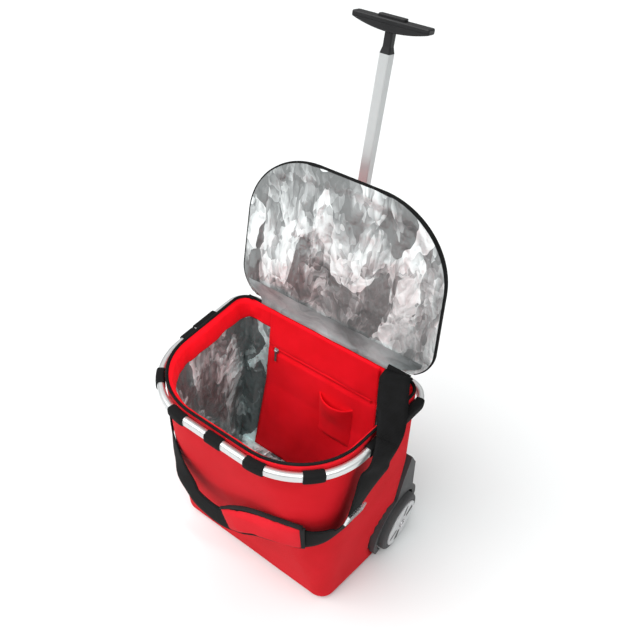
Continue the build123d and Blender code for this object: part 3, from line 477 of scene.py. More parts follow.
RED = woven("red_polyester", (0.6, 0.008, 0.016), (0.55, 0.006, 0.012))
# The inside red is the lining's own red, raised above the outer red as painted light for the light it lacks inside the
# bag.
RED_INSIDE_PAINTED_LIGHT = woven("red_lining_painted_light", (0.9, 0.006, 0.016), (0.82, 0.004, 0.011), pitch=0.6)
PAD_RED = woven(
    "pad_polyester", (0.62, 0.016, 0.026), (0.57, 0.012, 0.02), kind="Object", turn=(math.radians(-90), 0, 0),
)
BLACK_CLOTH = woven("black_tape_cloth", (0.01, 0.01, 0.0105), (0.006, 0.006, 0.006), pitch=0.9)
WEBBING = ribbed("black_webbing_ribs", (0.0065, 0.0065, 0.007), (0.004, 0.004, 0.004))
ZIP_TAPE = ribbed("black_zip_teeth", (0.009, 0.009, 0.009), (0.005, 0.005, 0.005), pitch=2.6, direction="X")
GREY_LINING = woven("dark_grey_lining", (0.022, 0.0215, 0.022), (0.015, 0.0145, 0.015), pitch=0.8)
# The foils' colours are painted shade and highlight on their facets, tinted cyan against the red light they reflect.
LINING_FOIL = crinkled_foil("lining_foil_painted_shade", 0.3, 1.0, (1, 1, 0.7), (0.82, 1.0, 1.0), 0.35, 0.85)
LID_FOIL = crinkled_foil("lid_foil_film_painted_shade", 0.26, 1.0, (1, 1, 0.5), (0.96, 1.0, 1.0), 0.45, 0.62)
SMOOTH_FOIL = crinkled_foil("fold_foil_painted_shade", 0.36, 0.2, (0.3, 0.5, 0.5), (0.44, 0.48, 0.485), 0.3, 0.9)
HOOP_METAL = drawn_metal("hoop_aluminium_satin", (0.66, 0.67, 0.67), 0.36, (1, 1, 8), 0.85)
# The handle tube's slight cyan tint is painted against the red light it reflects from the lid.
TUBE_METAL = drawn_metal("tube_aluminium_satin", (0.56, 0.575, 0.575), 0.42, (8, 8, 0.4), 0.35)
STEEL = drawn_metal("plated_steel", (0.7, 0.7, 0.71), 0.24, (1, 1, 1))
DARK_STEEL = drawn_metal("dark_zip_metal", (0.42, 0.45, 0.455), 0.34, (1, 1, 1))
BLACK_PLASTIC = moulded("grip_plastic", (0.011, 0.011, 0.012), rough=0.46, specular=0.35)
HOUSING_PLASTIC = moulded("housing_plastic", (0.045, 0.046, 0.048), rough=0.55, specular=0.35)
TYRE_RUBBER = moulded("tyre_rubber_matt", (0.05, 0.051, 0.053), rough=0.68, grain=500.0)
HUB_SILVER = moulded("hub_silver_paint", (0.62, 0.63, 0.64), rough=0.36, metal=0.25, depth=0.05)
BOARD = moulded("base_board", (0.03, 0.03, 0.03), rough=0.6)

FINISHED_NODES = (
    (HOOP_METAL, "frame_tube"),
    (TUBE_METAL, "handle_outer_tube middle_tube inner_tube"),
    (BLACK_PLASTIC, "frame_joiner handle_bracket middle_collar middle_plug inner_plug"),
    (BLACK_PLASTIC, "grip_lower grip_upper release_button"),
    (HOUSING_PLASTIC, "wheel_housing_left wheel_housing_right chassis_beam chassis_back_plate axle_washers"),
    (TYRE_RUBBER, "tyre_left tyre_right front_feet"),
    (HUB_SILVER, "hub_left hub_right bush_left bush_right"),
    (BOARD, "floor_board base_frame"),
    (DARK_STEEL, "pocket_zip_slider pocket_zip_pull rim_zip_slider rim_zip_pull"),
)
NODE_FINISH = {node_name: finish for finish, node_names in FINISHED_NODES for node_name in node_names.split()}
for node_name, node_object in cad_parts.items():
    finish = NODE_FINISH.get(node_name, STEEL)
    if node_object.material_slots:
        for material_slot in node_object.material_slots:
            material_slot.material = finish
    else:
        node_object.data.materials.append(finish)


# Bag


def lumpy(x, y, z):
    """Smooth noise between -1 and 1."""
    return noise.noise(Vector((x, y, z)))


def tri_wave(value):
    """A zigzag between 0 and 1 of period 1."""
    return abs((value % 1.0) * 2.0 - 1.0)


def crumple(u, v, seed, size=1.0):
    """Height from 0 to 1 of a foil crumpled into flat facets, at a place in millimetres."""
    warp, warp_span, folds, widest = 16.0, 70.0, 7, 150.0
    u, v = u / size, v / size
    u += warp * lumpy(u / warp_span, v / warp_span, seed)
    v += warp * lumpy(u / warp_span, v / warp_span, seed + 7.3)
    total = weight = 0.0
    for fold in range(folds):
        angle = seed * 1.7 + fold * 2.4
        span = widest / (1.0 + 0.62 * fold)
        share = span * (1.0 + 0.35 * math.sin(fold * 3.1 + seed))
        total += share * tri_wave((u * math.cos(angle) + v * math.sin(angle)) / span + seed * 0.37 + fold * 0.21)
        weight += share
    return total / weight


def bag_shell():
    """Outer bag: bottom, rounded lower edge and walls that bow and pucker slightly."""
    edge_inset, edge_rise = 6.0, 8.0
    bottom_shares = (0.02, 0.3, 0.55, 0.75, 0.88, 0.95)
    edge_levels = [0.0, 0.8, 2.0, 3.6, 5.6, 8.0, 11.0]
    wall_levels = [16.0 + 9.05 * step for step in range(47)]
    bow_depth, lump_depth, pucker_depth, side_lump_depth = 2.2, 1.6, 0.7, 0.8
    lump_span, lump_rise, pucker_span, pucker_drop = 90.0, 130.0, 76.0, (70.0, 8.0)
    front_y, side_y = (20.0, -60.0), (60.0, 20.0)
    bottom = bag_outline(BASE_HEIGHT + edge_inset, edge_inset)
    rings = []
    for share in bottom_shares:
        rings.append([tuck(Vector((*drawn_in(point, share, FLOOR_MIDDLE_Y), BASE_HEIGHT))) for point in bottom])
    for level in edge_levels + wall_levels:
        height = min(BASE_HEIGHT + level, SHELL_TOP)
        drop = max(0.0, 1.0 - level / edge_rise)
        inset = edge_inset * (1.0 - math.sqrt(max(0.0, 1.0 - drop * drop)))
        share = (height - BASE_HEIGHT) / (SHELL_TOP - BASE_HEIGHT)
        bow = bow_depth * math.sin(math.pi * min(1.0, share * 1.1))
        gather = ease(SHELL_TOP - pucker_drop[0], SHELL_TOP - pucker_drop[1], height)
        ring = []
        outline = bag_outline(height, inset)
        for index, point in enumerate(outline):
            lumps = lumpy(point.x / lump_span, point.y / lump_span, height / lump_rise)
            pucker = gather * math.cos(2 * math.pi * point.x / pucker_span)
            front = ease(*front_y, point.y)
            side_room = ease(*side_y, point.y)
            shift = (bow + lump_depth * lumps) * front
            shift += pucker_depth * pucker * front * (height < SHELL_TOP - 1)
            shift += side_lump_depth * lumps * (1.0 - front) * side_room
            place = point + outward_at(outline, index) * shift
            ring.append(tuck(Vector((place.x, place.y, height))))
        rings.append(ring)
    shell = piece("bag_shell", lofted(rings, ends=(True, False)), RED, "bag", (0, 10, 200), -1.6)
    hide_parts("outer_shell", "insulation")


def foil_lining():
    """Crumpled foil of the compartment: walls below the red facing, and the floor."""
    fine, wall_rows, top = 2, 85, FACING_LOW + 2.0
    wall_depth, wall_seed, top_share, hang_drop = 15.0, 2.0, 0.15, 45.0
    floor_depth, floor_seed, floor_size = 7.0, 5.0, 0.55
    floor_shares = [0.985, 0.96] + [0.94 - 0.02 * step for step in range(47)]
    floor_outline = bag_outline(LINER_FLOOR, LINER_INSET + 0.5, fine)
    rings = []
    for step in range(wall_rows + 1):
        height = mix(top, LINER_FLOOR + 1.0, step / wall_rows)
        hang = ease(top, FACING_LOW - hang_drop, height)
        ring = []
        outline = bag_outline(height, LINER_INSET, fine)
        travel = 0.0
        for index, point in enumerate(outline):
            travel += (point - outline[index - 1]).length
            free = off_panel(point, 88.0, 60.0)
            deep = wall_depth * crumple(travel, height, wall_seed) * free * (top_share + (1.0 - top_share) * hang)
            place = point - outward_at(outline, index) * (deep + 0.2)
            ring.append(tuck(Vector((place.x, place.y, height)), FOIL_WELL_FACE, FOIL_WELL_GROW))
        rings.append(ring)
    for share in floor_shares:
        ring = []
        for point in floor_outline:
            x, y = drawn_in(point, share, FLOOR_MIDDLE_Y)
            lift = floor_depth * crumple(x, y, floor_seed, floor_size) * ease(1.0, 0.9, share) + 0.4
            ring.append(tuck(Vector((x, y, LINER_FLOOR + lift)), FOIL_WELL_FACE, FOIL_WELL_GROW))
        rings.append(ring)
    lining = piece("foil_lining", lofted(rings, ends=(False, True)), LINING_FOIL, "bag", sharp=50)
    lining.data.flip_normals()
    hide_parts("foil_liner")


def rim_facing():
    """Red band inside the rim, gathered into soft folds above its wavy lower hem."""
    fine, rows = 2, 16
    hem_drop, hem_wave, wave_span, gather_span = 2.0, 7.0, 34.0, 15.0
    even_swell, wave_swell, gather_swell = 2.0, 5.5, 1.6
    rings = []
    for step in range(rows + 1):
        share = step / rows
        swell = math.sin(math.pi * share * 0.8)
        ring = []
        outline = bag_outline(mix(SHELL_TOP, FACING_LOW, share), mix(4.0, 8.6, ease(0.0, 0.2, share)), fine)
        for index, point in enumerate(outline):
            free = off_panel(point, 100.0, 80.0)
            wave = lumpy(point.x / wave_span, point.y / wave_span, 4.0)
            gather = lumpy(point.x / gather_span, point.y / gather_span, 9.0 + share)
            height = mix(SHELL_TOP, FACING_LOW - hem_drop - hem_wave * wave * free, share)
            deep = (even_swell + wave_swell * (0.5 + 0.5 * wave) + gather_swell * gather) * swell * free
            place = point - outward_at(outline, index) * deep
            ring.append(Vector((place.x, place.y, height)))
        rings.append(ring)
    band = piece("rim_facing_band", lofted(rings), RED_INSIDE_PAINTED_LIGHT, "bag", (0, 0, 420), 1.0)
    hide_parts("facing_band")


def rim_binding():
    """Black zip tape bound over the rim, and its teeth."""
    # Sections as (inset from the rim, height)
    tape_section = (
        (0.6, 440.4), (-0.3, 441.6), (-0.3, 443.9), (0.9, 445.1),
        (2.8, 445.1), (4.2, 443.8), (4.6, 441.0), (4.4, 439.4),
    )
    teeth_section = ((4.4, 442.8), (5.4, 442.5), (5.4, 441.3), (4.4, 441.0))
    tape, teeth = (
        [three(bag_outline(RIM_HEIGHT, inset), height) for inset, height in section]
        for section in (tape_section, teeth_section)
    )
    binding = piece("rim_binding", lofted(tape), ZIP_TAPE, "bag", levels=1)
    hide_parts("rim_zip_tape")
    piece("rim_zip_teeth", lofted(teeth), ZIP_TAPE, "bag", levels=1)


def on_back(x, z, proud):
    """A point in front of the inner back wall."""
    return Vector((x, back_line(z)[0] - PANEL_INSET - proud, z))


def red_back_panel():
    """Red panel over the inner back wall, with soft folds and the zip seam."""
    rows, columns = 60, 56
    least_proud, fold_depth, seam_proud, seam_half, edge_gain = 1.6, 3.4, 0.3, 5.0, 14.0
    folds_top, folds_foot = (430.0, 330.0), (64.0, 100.0)
    rings = []
    for row in range(rows + 1):
        z = mix(SHELL_TOP + 2.0, LINER_FLOOR + 2.5, row / rows)
        half = mix(PANEL_TOP_HALF, PANEL_FOOT_HALF, row / rows)
        seam = math.exp(-((z - ZIP_SEAM_Z) / seam_half) ** 2)
        ring = []
        for column in range(columns + 1):
            share = column / columns
            x = mix(-half, half, share)
            edge = min(1.0, min(share, 1.0 - share) * edge_gain)
            folds = lumpy(x / 46.0, z / 120.0, 3.0) + 0.5 * lumpy(x / 25.0, z / 60.0, 8.0)
            swell = (0.5 + 0.5 * folds) * edge * ease(*folds_top, z) * ease(*folds_foot, z)
            proud = mix(least_proud + fold_depth * swell, seam_proud, min(1.0, seam * 1.2))
            ring.append(on_back(x, z, proud))
        rings.append(ring)
    panel = piece("red_back_panel", lofted(rings, cyclic=False), RED_INSIDE_PAINTED_LIGHT, "bag", (0, 300, 250), 1.0)
    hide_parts("back_panel")


def zip_band():
    """Tape of the zipped pocket, red with a fold along its upper edge."""
    # Section as (height, distance before the back wall)
    section = ((359.0, 1.2), (357.5, 2.6), (354.5, 2.8), (352.5, 1.4), (350.5, 1.2), (346.0, 1.3), (345.0, 0.8))
    columns = 60
    rings = []
    for z, proud in section:
        rings.append([
            on_back(mix(-ZIP_HALF, ZIP_HALF, column / columns), z, proud) for column in range(columns + 1)
        ])
    band = piece("pocket_zip_band", lofted(rings, cyclic=False), RED_INSIDE_PAINTED_LIGHT, "bag", (0, 300, 350), 0.6)
    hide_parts("pocket_zip_tape")


def gaping_pocket():
    """Slip pocket whose mouth stands open."""
    rows, columns = 24, 32
    mouth_gape, foot_gape, crease_depth, lip_rise, cloth_proud, lean = 19.0, 6.0, 1.2, 4.0, 2.4, 3.0
    rings = []
    for row in range(rows + 1):
        share = row / rows
        z = mix(POCKET_TOP, POCKET_FOOT, share)
        gape = mix(mouth_gape, foot_gape, ease(0.0, 0.85, share)) * (1.0 - ease(0.9, 1.0, share) * 0.8)
        ring = []
        for column in range(columns + 1):
            across = column / columns * 2.0 - 1.0
            crease = crease_depth * lumpy(across * 2.0, z / 30.0, 6.0)
            lip = lip_rise * (1.0 - share) * across * across
            proud = cloth_proud + (gape + crease) * (1.0 - abs(across) ** 2.4)
            ring.append(on_back(POCKET_X + POCKET_HALF * across + lean * (share - 0.5), z + lip, proud))
        rings.append(ring)
    skin = lofted(rings, cyclic=False)
    pocket = piece("slip_pocket_cloth", skin, RED_INSIDE_PAINTED_LIGHT, "bag", (POCKET_X, 300, 250), 1.2)
    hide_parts("slip_pocket")


# Hoop sleeves


def hoop_sleeve(name, target, length, cloth, material):
    """A cloth sleeve round the hoop at the place nearest to a plan point."""
    tube_out, tube_in, tube_rise, corner, end_draw, steps = 6.6, 7.6, 8.5, 0.55, 0.35, 28
    path = bag_outline(HOOP_HEIGHT, -HOOP_MIDDLE, 4)
    count = len(path)
    nearest = min(range(count), key=lambda index: (path[index] - Vector(target)).length)
    picks = [nearest]
    for way in (1, -1):
        travel, index = 0.0, nearest
        while travel < length / 2:
            following = (index + way) % count
            travel += (path[following] - path[index]).length
            index = following
            picks.insert(len(picks) if way > 0 else 0, index)
    rings = []
    for number, pick in enumerate(picks):
        out = outward_at(path, pick)
        end = end_draw if number in (0, len(picks) - 1) else 0.0
        ring = []
        for step in range(steps):
            angle = step / steps * 2 * math.pi
            c, s = math.cos(angle), math.sin(angle)
            reach = (tube_out + cloth - end) if c > 0 else (tube_in - end)
            spot = path[pick] + out * (squared(c, corner) * reach)
            ring.append(Vector((spot.x, spot.y, HOOP_HEIGHT + squared(s, corner) * (tube_rise + cloth - end))))
        rings.append(ring)
    return piece(name, lofted(rings, ends=(True, True)), material, "bag", sharp=50)


def hoop_sleeves():
    """Nine narrow loops that hold the hoop, and the two wide sleeves of the strap."""
    loop_length, loop_cloth, anchor_length, anchor_cloth = 30.0, 1.4, 50.0, 2.2
    places = [
        (-76, -170), (0, -170), (76, -170), (160, -137), (-160, -137), (190, -29), (-190, -29), (90, 130), (-90, 130),
    ]
    for number, place in enumerate(places, 1):
        sleeve = hoop_sleeve(f"hoop_loop_{number}", place, loop_length, loop_cloth, BLACK_CLOTH)
        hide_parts("frame_loops")
    for side, place in (("left", (-205, 18)), ("right", (205, 74))):
        anchor = hoop_sleeve(f"strap_anchor_{side}", place, anchor_length, anchor_cloth, WEBBING)
        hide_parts("strap_anchors")


# Strap

# Stations along the strap's middle, from the left sleeve to the right back corner, each with the direction across it
STRAP_ROUTE = [
    ((-207.0, 18, 428), (-0.08, 1, 0)),
    ((-211.0, 12, 402), (-0.05, 1, -0.15)),
    ((-204.0, -12, 370), (0.05, 0.85, -0.5)),
    ((-196.0, -60, 328), (0, 0.4, -0.9)),
    ((-161.0, -113, 288), (0, 0.05, -1)),
    ((-116.0, -142, 250), (0, -0.05, -1)),
    ((-84.0, -148, 204), (0, 0, -1)),
    ((-52.0, -150, 190), (0, 0, -1)),
    ((-4.0, -151, 194), (0, 0, -1)),
    ((52.0, -149, 232), (0, -0.03, -1)),
    ((100.0, -145, 251), (0, -0.02, -1)),
    ((149.0, -133, 260), (0, 0.05, -1)),
    ((172.0, -112, 260), (0.1, 0.4, -0.9)),
    ((187.0, -87, 268), (0, 0.68, -0.73)),
    ((197.0, -75, 294), (-0.1, 0.72, -0.68)),
    ((201.0, -66, 320), (-0.05, 0.7, -0.71)),
    ((204.5, -58, 352), (0.1, 0.72, -0.69)),
    ((208.0, -48, 386), (0.3, 0.7, -0.65)),
    ((213.8, -39, 416), (0.25, 0.8, -0.55)),
    ((204.6, -5, 446.5), (0.5, 0.8, -0.25)),
    ((182.0, 36, 463), (0.7, 0.7, -0.1)),
    ((158.0, 84, 461), (0.65, 0.76, 0)),
    ((152.0, 111, 447.2), (1, 0.2, 0)),
]
PAD_START, PAD_END, ARCH_START, STRAP_END = 8, 11, 18 + 2 / 3, 22
WEBBING_CROWN = (0.0, 0.5, 0.8, 0.9, 0.8, 0.5, 0.0)
PAD_TAPER = 0.16


def strap_rows(first, last, steps=6):
    """Smooth rows (middle, across, outward) along the strap between two stations."""
    stations = [[Vector(middle), Vector(across)] for middle, across in STRAP_ROUTE]
    rows = flowing(stations, steps)
    frames = []
    for index, (middle, across) in enumerate(rows):
        before, after = rows[max(index - 1, 0)][0], rows[min(index + 1, len(rows) - 1)][0]
        along = (after - before).normalized()
        side = (across - along * across.dot(along)).normalized()
        frames.append((middle, side, side.cross(along).normalized()))
    return frames[round(first * steps):round(last * steps) + 1]


def webbing(name, first, last, node):
    """A length of webbing between two stations of the strap."""
    lanes = len(WEBBING_CROWN) - 1
    rings = []
    for middle, side, face in strap_rows(first, last):
        rings.append([
            middle + side * mix(-WEBBING_HALF, WEBBING_HALF, lane / lanes) + face * crown
            for lane, crown in enumerate(WEBBING_CROWN)
        ])
    band = piece(name, lofted(rings, cyclic=False), WEBBING, "bag", solid=1.8)
    band.modifiers["cloth_thickness"].offset = 0.0
    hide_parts(node)
    return band


def puffed(cushion, most):
    """Lets the air in a closed cushion press its cloth out, by no more than a distance in millimetres."""
    voxel, pressure, stretch_stiffness, bend_stiffness, frames = 0.004, 4.0, 25.0, 2.0, 20
    scene = bpy.context.scene
    voxels = cushion.modifiers.new("voxels", "REMESH")
    voxels.mode = "VOXEL"
    voxels.voxel_size = voxel
    skin = bpy.data.meshes.new_from_object(cushion.evaluated_get(bpy.context.evaluated_depsgraph_get()))
    cushion.modifiers.clear()
    finish = cushion.data.materials[0]
    cushion.data = skin
    skin.materials.clear()
    skin.materials.append(finish)
    flat = [vert.co.copy() for vert in skin.vertices]
    air = cushion.modifiers.new("air", "CLOTH")
    air.settings.use_pressure = True
    air.settings.uniform_pressure_force = pressure
    air.settings.effector_weights.gravity = 0.0
    air.settings.tension_stiffness = stretch_stiffness
    air.settings.compression_stiffness = stretch_stiffness
    air.settings.bending_stiffness = bend_stiffness
    air.point_cache.frame_start = 1
    air.point_cache.frame_end = frames
    for number in range(1, frames + 1):
        scene.frame_set(number)
    blown = cushion.evaluated_get(bpy.context.evaluated_depsgraph_get()).data
    moved = [vert.co.copy() for vert in blown.vertices]
    cushion.modifiers.clear()
    scene.frame_set(1)
    for vert, start, end in zip(skin.vertices, flat, moved):
        step = end - start
        if step.length > most * MM:
            step *= most * MM / step.length
        vert.co = start + step
    for face in skin.polygons:
        face.use_smooth = True
    soft = cushion.modifiers.new("soft", "SUBSURF")
    soft.levels = soft.render_levels = 1


def pad_ring(middle, side, face, half, front, behind):
    """A flattened section of the pad: half its width, and how far it stands before and behind the webbing."""
    steps, width_corner, depth_corner = 36, 0.6, 0.8
    ring = []
    for step in range(steps):
        angle = step / steps * 2 * math.pi
        c, s = math.cos(angle), math.sin(angle)
        across = squared(c, width_corner) * half
        thick = squared(s, depth_corner) * (front if s < 0 else behind)
        ring.append(middle + side * across + face * thick)
    return ring


def shoulder_pad():
    """Padded red sleeve round the webbing, bound in black along its upper edge, with a thin dark strip of painted
    shadow along its lower edge, and open at its right end.
    """
    # Half width, depth before and depth behind the webbing: at the tapered left end, and beyond it
    taper_size, full_size = (WEBBING_HALF, 2.6, 2.0), (28.5, 6.0, 3.4)
    mouth_outside, mouth_inside = (29.2, 6.9, 4.2), (26.4, 4.4, 2.2)
    most_puff, bind_steps = 5.0, 12
    rows = strap_rows(PAD_START, PAD_END)
    starts = [ease(0.0, PAD_TAPER, index / (len(rows) - 1)) for index in range(len(rows))]
    rings = []
    for row, start in zip(rows, starts):
        rings.append(pad_ring(*row, *(mix(small, large, start) for small, large in zip(taper_size, full_size))))
    pad = piece("shoulder_pad_cover", lofted(rings, ends=(True, True)), PAD_RED, "bag")
    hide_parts("shoulder_pad")
    puffed(pad, most_puff)
    # The lower strip is painted shadow under the pad, not a binding; the upper one is the black binding.
    for name, sign, reach, thick in (("upper", -1, 2.6, 4.4), ("lower", 1, 1.4, 1.6)):
        rings = []
        for (middle, side, face), start in zip(rows, starts):
            edge = middle + side * sign * mix(24.5, 29.4 - 0.2 * reach, start) - face
            depth = mix(0.7, 1.0, start) * thick
            ring = []
            for step in range(bind_steps):
                angle = step / bind_steps * 2 * math.pi
                ring.append(edge + side * reach * math.cos(angle) + face * depth * math.sin(angle))
            rings.append(ring)
        piece(f"pad_{name}_binding", lofted(rings, ends=(True, True)), GREY_LINING, "bag")
    mouth = strap_rows(PAD_END - 1, PAD_END + 1, 12)[11:14]
    rings = [pad_ring(*row, *mouth_outside) for row in mouth]
    rings += [pad_ring(*row, *mouth_inside) for row in reversed(mouth[1:])]
    piece("pad_mouth_binding", lofted(rings), GREY_LINING, "bag", sharp=50)


# Lid


def opened(point):
    """Turns a point of the closed lid up to its open rest."""
    y, z = point.y - HINGE_Y, point.z - HINGE_Z
    angle = math.radians(-LID_ANGLE)
    turned_y = y * math.cos(angle) - z * math.sin(angle)
    turned_z = y * math.sin(angle) + z * math.cos(angle)
    return Vector((point.x, HINGE_Y + turned_y, HINGE_Z + turned_z))


def lid_ring(grow, low, share=1.0):
    """The lid's outline in the closed place, low above the hinge line, drawn in to a share of its size."""
    ring = []
    for point in bag_outline(RIM_HEIGHT, -grow, 2, LID_CORNER):
        point.y = min(point.y, RIM_BACK_Y - 0.5)
        ring.append(Vector((*drawn_in(point, share, LID_MIDDLE_Y), HINGE_Z + low)))
    return ring


def lid_panel():
    """Red padded outside of the lid and its black edge."""
    # Sections as (growth past the rim, height above the hinge)
    side_section = ((4.5, 1.2), (6.2, 2.2), (6.6, 5.0), (6.4, 8.6), (5.0, 10.8))
    edge_section = ((6.2, 1.6), (7.8, 2.0), (8.2, 3.4), (8.2, 8.0), (7.6, 9.6), (5.6, 10.6))
    top_grow, top_height, crown = 4.0, 11.4, 3.0
    rings = [lid_ring(grow, low) for grow, low in side_section]
    for share in (0.985, 0.96, 0.93, 0.88, 0.8, 0.7, 0.58, 0.45, 0.3, 0.15, 0.02):
        rings.append(lid_ring(top_grow, top_height + crown * (1.0 - share ** 2) ** 0.7, share))
    rings = [[opened(point) for point in ring] for ring in rings]
    cover = piece("lid_panel", lofted(rings, ends=(False, True)), RED, "lid", (0, 100, 600))
    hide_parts("lid_cover", "lid_foam")
    keep = [index for index, point in enumerate(lid_ring(0.0, 0.0)) if point.y < RIM_BACK_Y - 8.0]
    rings = []
    for grow, low in edge_section:
        ring = lid_ring(grow, low)
        rings.append([opened(ring[index]) for index in keep])
    edge = piece("lid_zip_edge", lofted(rings, cyclic=False), ZIP_TAPE, "lid", (0, 128, 590), 0.8)
    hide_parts("lid_zip_tape")


def lid_half(outline, y):
    """Half the lid's width at a depth from the hinge."""
    for before, after in zip(outline, outline[1:len(outline) // 2 + 1]):
        if after.y <= y < before.y:
            return mix(after.x, before.x, (y - after.y) / (before.y - after.y))
    return outline[len(outline) // 2 - 1].x


def lid_lining():
    """Crumpled foil on the inside of the lid, dented into it, with a flat border and a smooth strip at the hinge."""
    rows, columns = 120, 130
    border, hinge_strip = (18.0, 40.0), (8.0, 46.0)
    face, dent_depth, dent_seed, dent_size, rolled_edge = HINGE_Z + 0.8, 8.0, 9.0, 0.8, 1.6
    grow, bunch = 8.0, 0.92
    outline = bag_outline(RIM_HEIGHT, -grow, 4, LID_CORNER)
    back, front = RIM_BACK_Y - 0.5, min(point.y for point in outline) + 0.05
    rings = []
    for row in range(rows + 1):
        y = mix(back, front, math.sin(row / rows * math.pi / 2))
        half = lid_half(outline, y)
        ring = []
        for column in range(columns + 1):
            x = half * math.sin((column / columns - 0.5) * math.pi * bunch) / math.sin(math.pi * bunch / 2)
            rim = min(half - abs(x), (y - front) * 0.8 + 3.0 * abs(half - abs(x)) / 30.0)
            inside = ease(*border, rim) * ease(*hinge_strip, back - y)
            dent = dent_depth * crumple(x * 0.8 + 0.25 * y, y * 0.55, dent_seed, dent_size) * inside
            ring.append(opened(Vector((x, y, face + rolled_edge * ease(3.0, 0.0, rim) + dent))))
        rings.append(ring)
    skin = lofted(rings, cyclic=False)
    lining = piece("lid_foil_lining", skin, LID_FOIL, "lid", (0, 300, 590), sharp=40)
    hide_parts("lid_foil")


def hinge_fold():
    """Silver fold of lining that joins the lid to the rim."""
    # Section as (depth, height)
    section = (
        (112.6, 443.0), (113.2, 446.0), (114.6, 448.4), (116.6, 452.0),
        (118.4, 457.0), (119.8, 464.0), (120.6, 472.0), (121.0, 480.0),
    )
    low_half, high_half, ripple_depth, ripple_rise, columns = 146.0, 184.0, 1.2, 3.0, 70
    rings = []
    for y, z in section:
        half = mix(low_half, high_half, ease(446.0, 474.0, z))
        ring = []
        for column in range(columns + 1):
            x = mix(-half, half, column / columns)
            ripple = lumpy(x / 24.0, z / 18.0, 2.0)
            rise = ripple_rise * ripple * ease(450.0, 480.0, z)
            ring.append(Vector((x, y - ripple_depth * ripple, z + rise)))
        rings.append(ring)
    fold = piece("hinge_fold_lining", lofted(rings, cyclic=False), SMOOTH_FOIL, "bag", (0, 300, 455))
    fold.parent = None  # a blended piece hangs on no single body
    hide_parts("lid_hinge_strip")
    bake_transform(fold)


def hinge_tabs():
    """Black cloth tabs over the ends of the hinge fold. The left one is low."""
    # Section as (height, depth), cut off at each tab's crest
    section = ((443.8, 109.4), (447.4, 109.6), (450.4, 111.0), (453.0, 112.6), (454.0, 114.6), (451.0, 115.4))
    steps = 12
    for side, inner, outer, crest, name in ((-1, 163.0, 176.0, 446.5, "left"), (1, 129.0, 172.0, 454.0, "right")):
        rings = []
        for z, y in section:
            z = min(z, crest)
            rings.append([Vector((side * mix(inner, outer, step / steps), y, z)) for step in range(steps + 1)])
        skin = lofted(rings, cyclic=False)
        tab = piece(f"hinge_tab_{name}", skin, BLACK_CLOTH, "bag", (0, 115, 300), 0.8)
        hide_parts("hinge_end_tabs")
        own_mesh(tab)


# Wheels

# Painted shadow over the openings of a hub: angle in degrees, half width at the inner end, half width at the outer end
SLOT_SHADOWS = ((19, 4.6, 8.6), (71, 3.6, 4.2), (199, 3.6, 4.2), (251, 4.6, 8.6))
SHADOW_FACE, SHADOW_INNER, SHADOW_OUTER = 219.15, 16.5, 43.5


def hub_slot_shadows():
    """Black plates of painted shadow just before each hub's face, over its four slots: two wide ones and two narrow
    ones.
    """
    steps, roundness = 24, 8
    for side, name in ((-1, "left"), (1, "right")):
        centre = Vector((side * SHADOW_FACE, WHEEL_Y, WHEEL_RADIUS))
        for index, (turn, inner, outer) in enumerate(SLOT_SHADOWS, 1):
            angle = math.radians(turn)
            along = Vector((0, math.cos(angle), math.sin(angle)))
            across = Vector((0, -math.sin(angle), math.cos(angle)))
            rings = []
            for step in range(1, steps):
                share = step / steps
                middle = centre + along * mix(SHADOW_INNER, SHADOW_OUTER, share)
                half = mix(inner, outer, share) * math.sqrt(1.0 - abs(2.0 * share - 1.0) ** roundness)
                rings.append([middle - across * half, middle, middle + across * half])
            piece(
                f"hub_slot_shadow_{name}_{index}", lofted(rings, cyclic=False), BLACK_PLASTIC, f"wheel_{name}",
                (0, WHEEL_Y, WHEEL_RADIUS),
            )


bag_shell()
foil_lining()
rim_facing()
rim_binding()
red_back_panel()
zip_band()
gaping_pocket()
hoop_sleeves()
webbing("strap_webbing_left", 0, PAD_END, "strap_left")
webbing("strap_webbing_right", PAD_END, ARCH_START, "strap_right")
arch = webbing("strap_webbing_arch", ARCH_START, STRAP_END, "strap_arch")
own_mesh(arch)
shoulder_pad()
lid_panel()
lid_lining()
hinge_fold()
hinge_tabs()
hub_slot_shadows()


# Studio


# Places in metres
CAMERA_PLACE, CAMERA_LENS, CAMERA_SENSOR = (0.45114, -0.64753, 1.19307), 36.553, 36.0
CAMERA_RIGHT, CAMERA_UP = (0.81024, 0.58074, 0.07906), (-0.41935, 0.48019, 0.77043)
CAMERA_BACK = (0.40945, -0.65739, 0.6326)
# The floor's slight cyan tint is painted against the red light the bag bounces onto it.
FLOOR_WHITE, FLOOR_REACH = (0.83, 0.85, 0.85, 1), 8.0
# Light of the surroundings by the height of a direction
SKY = ((0.0, 0.14), (0.12, 0.2), (0.35, 0.42), (0.6, 0.86), (1.0, 1.0))


def studio_floor():
    """White floor that catches the shadow."""
    material, tree, skin = shader("studio_floor_white")
    wire(tree, skin, {"Base Color": FLOOR_WHITE, "Roughness": 0.9, "Specular IOR Level": 0.0})
    ground = bmesh.new()
    bmesh.ops.create_grid(ground, x_segments=1, y_segments=1, size=FLOOR_REACH)
    mesh = bpy.data.meshes.new("studio_floor")
    ground.to_mesh(mesh)
    ground.free()
    mesh.materials.append(material)
    floor = bpy.data.objects.new("studio_floor", mesh)
    bpy.context.scene.collection.objects.link(floor)


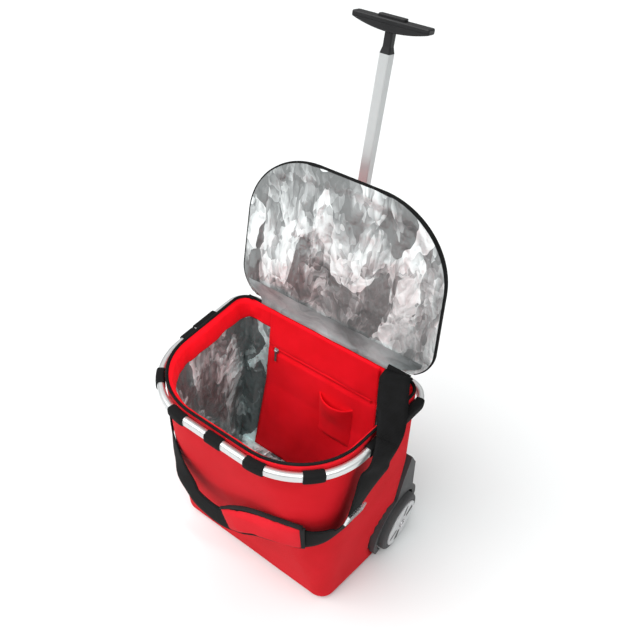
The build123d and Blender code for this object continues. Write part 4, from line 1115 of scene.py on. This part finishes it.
def studio_world():
    """Soft light from above, and a white backdrop for the camera."""
    world = bpy.data.worlds.new("studio_world")
    bpy.context.scene.world = world
    world.use_nodes = True
    tree = world.node_tree
    direction = add(tree, "ShaderNodeTexCoord").outputs["Generated"]
    height = add(tree, "ShaderNodeSeparateXYZ", {"Vector": direction}).outputs["Z"]
    glow = tones(tree, height, [(place, (grey, grey, grey)) for place, grey in SKY])
    seen = add(tree, "ShaderNodeLightPath").outputs["Is Camera Ray"]
    backdrop = add(tree, "ShaderNodeMix", {0: seen, 6: glow, 7: (1.0, 1.0, 1.0, 1.0)}, data_type="RGBA")
    wire(tree, tree.nodes["Background"], {"Color": backdrop.outputs[2], "Strength": 1.0})


def lamp(name, kind, watts, place, aim, **settings):
    """A lamp at a place, turned to a point."""
    light = bpy.data.lights.new(name, kind)
    light.energy = watts
    for key, value in settings.items():
        setattr(light, key, value)
    made = bpy.data.objects.new(name, light)
    bpy.context.scene.collection.objects.link(made)
    made.location = place
    made.rotation_euler = (Vector(aim) - Vector(place)).to_track_quat("-Z", "Y").to_euler()


def studio_camera():
    """The camera solved from the photo."""
    lens = bpy.data.cameras.new("photo_camera")
    lens.lens = CAMERA_LENS
    lens.sensor_width = CAMERA_SENSOR
    lens.clip_end = 50.0
    camera = bpy.data.objects.new("photo_camera", lens)
    bpy.context.scene.collection.objects.link(camera)
    turn = Matrix((CAMERA_RIGHT, CAMERA_UP, CAMERA_BACK)).transposed().to_4x4()
    camera.matrix_world = Matrix.Translation(CAMERA_PLACE) @ turn
    bpy.context.scene.camera = camera
    bpy.context.scene.view_settings.view_transform = "Standard"


studio_floor()
studio_world()
lamp("key_light", "SUN", 1.95, (0.0, 0.0, 0.0), (0.34, 0.7, -1.0), angle=math.radians(50))
lamp("left_softbox", "AREA", 9.0, (-1.5, -1.0, 1.8), (0.0, 0.0, 0.4), shape="RECTANGLE", size=0.8, size_y=1.4)
lamp("right_softbox", "AREA", 6.0, (1.7, -1.2, 1.5), (0.0, 0.0, 0.4), shape="RECTANGLE", size=0.6, size_y=1.4)
lamp(
    "inside_spot", "SPOT", 52.0, (0.7, -0.3, 1.35), (-0.17, -0.03, 0.27),
    spot_size=math.radians(24), spot_blend=1.0, shadow_soft_size=0.12,
)
studio_camera()
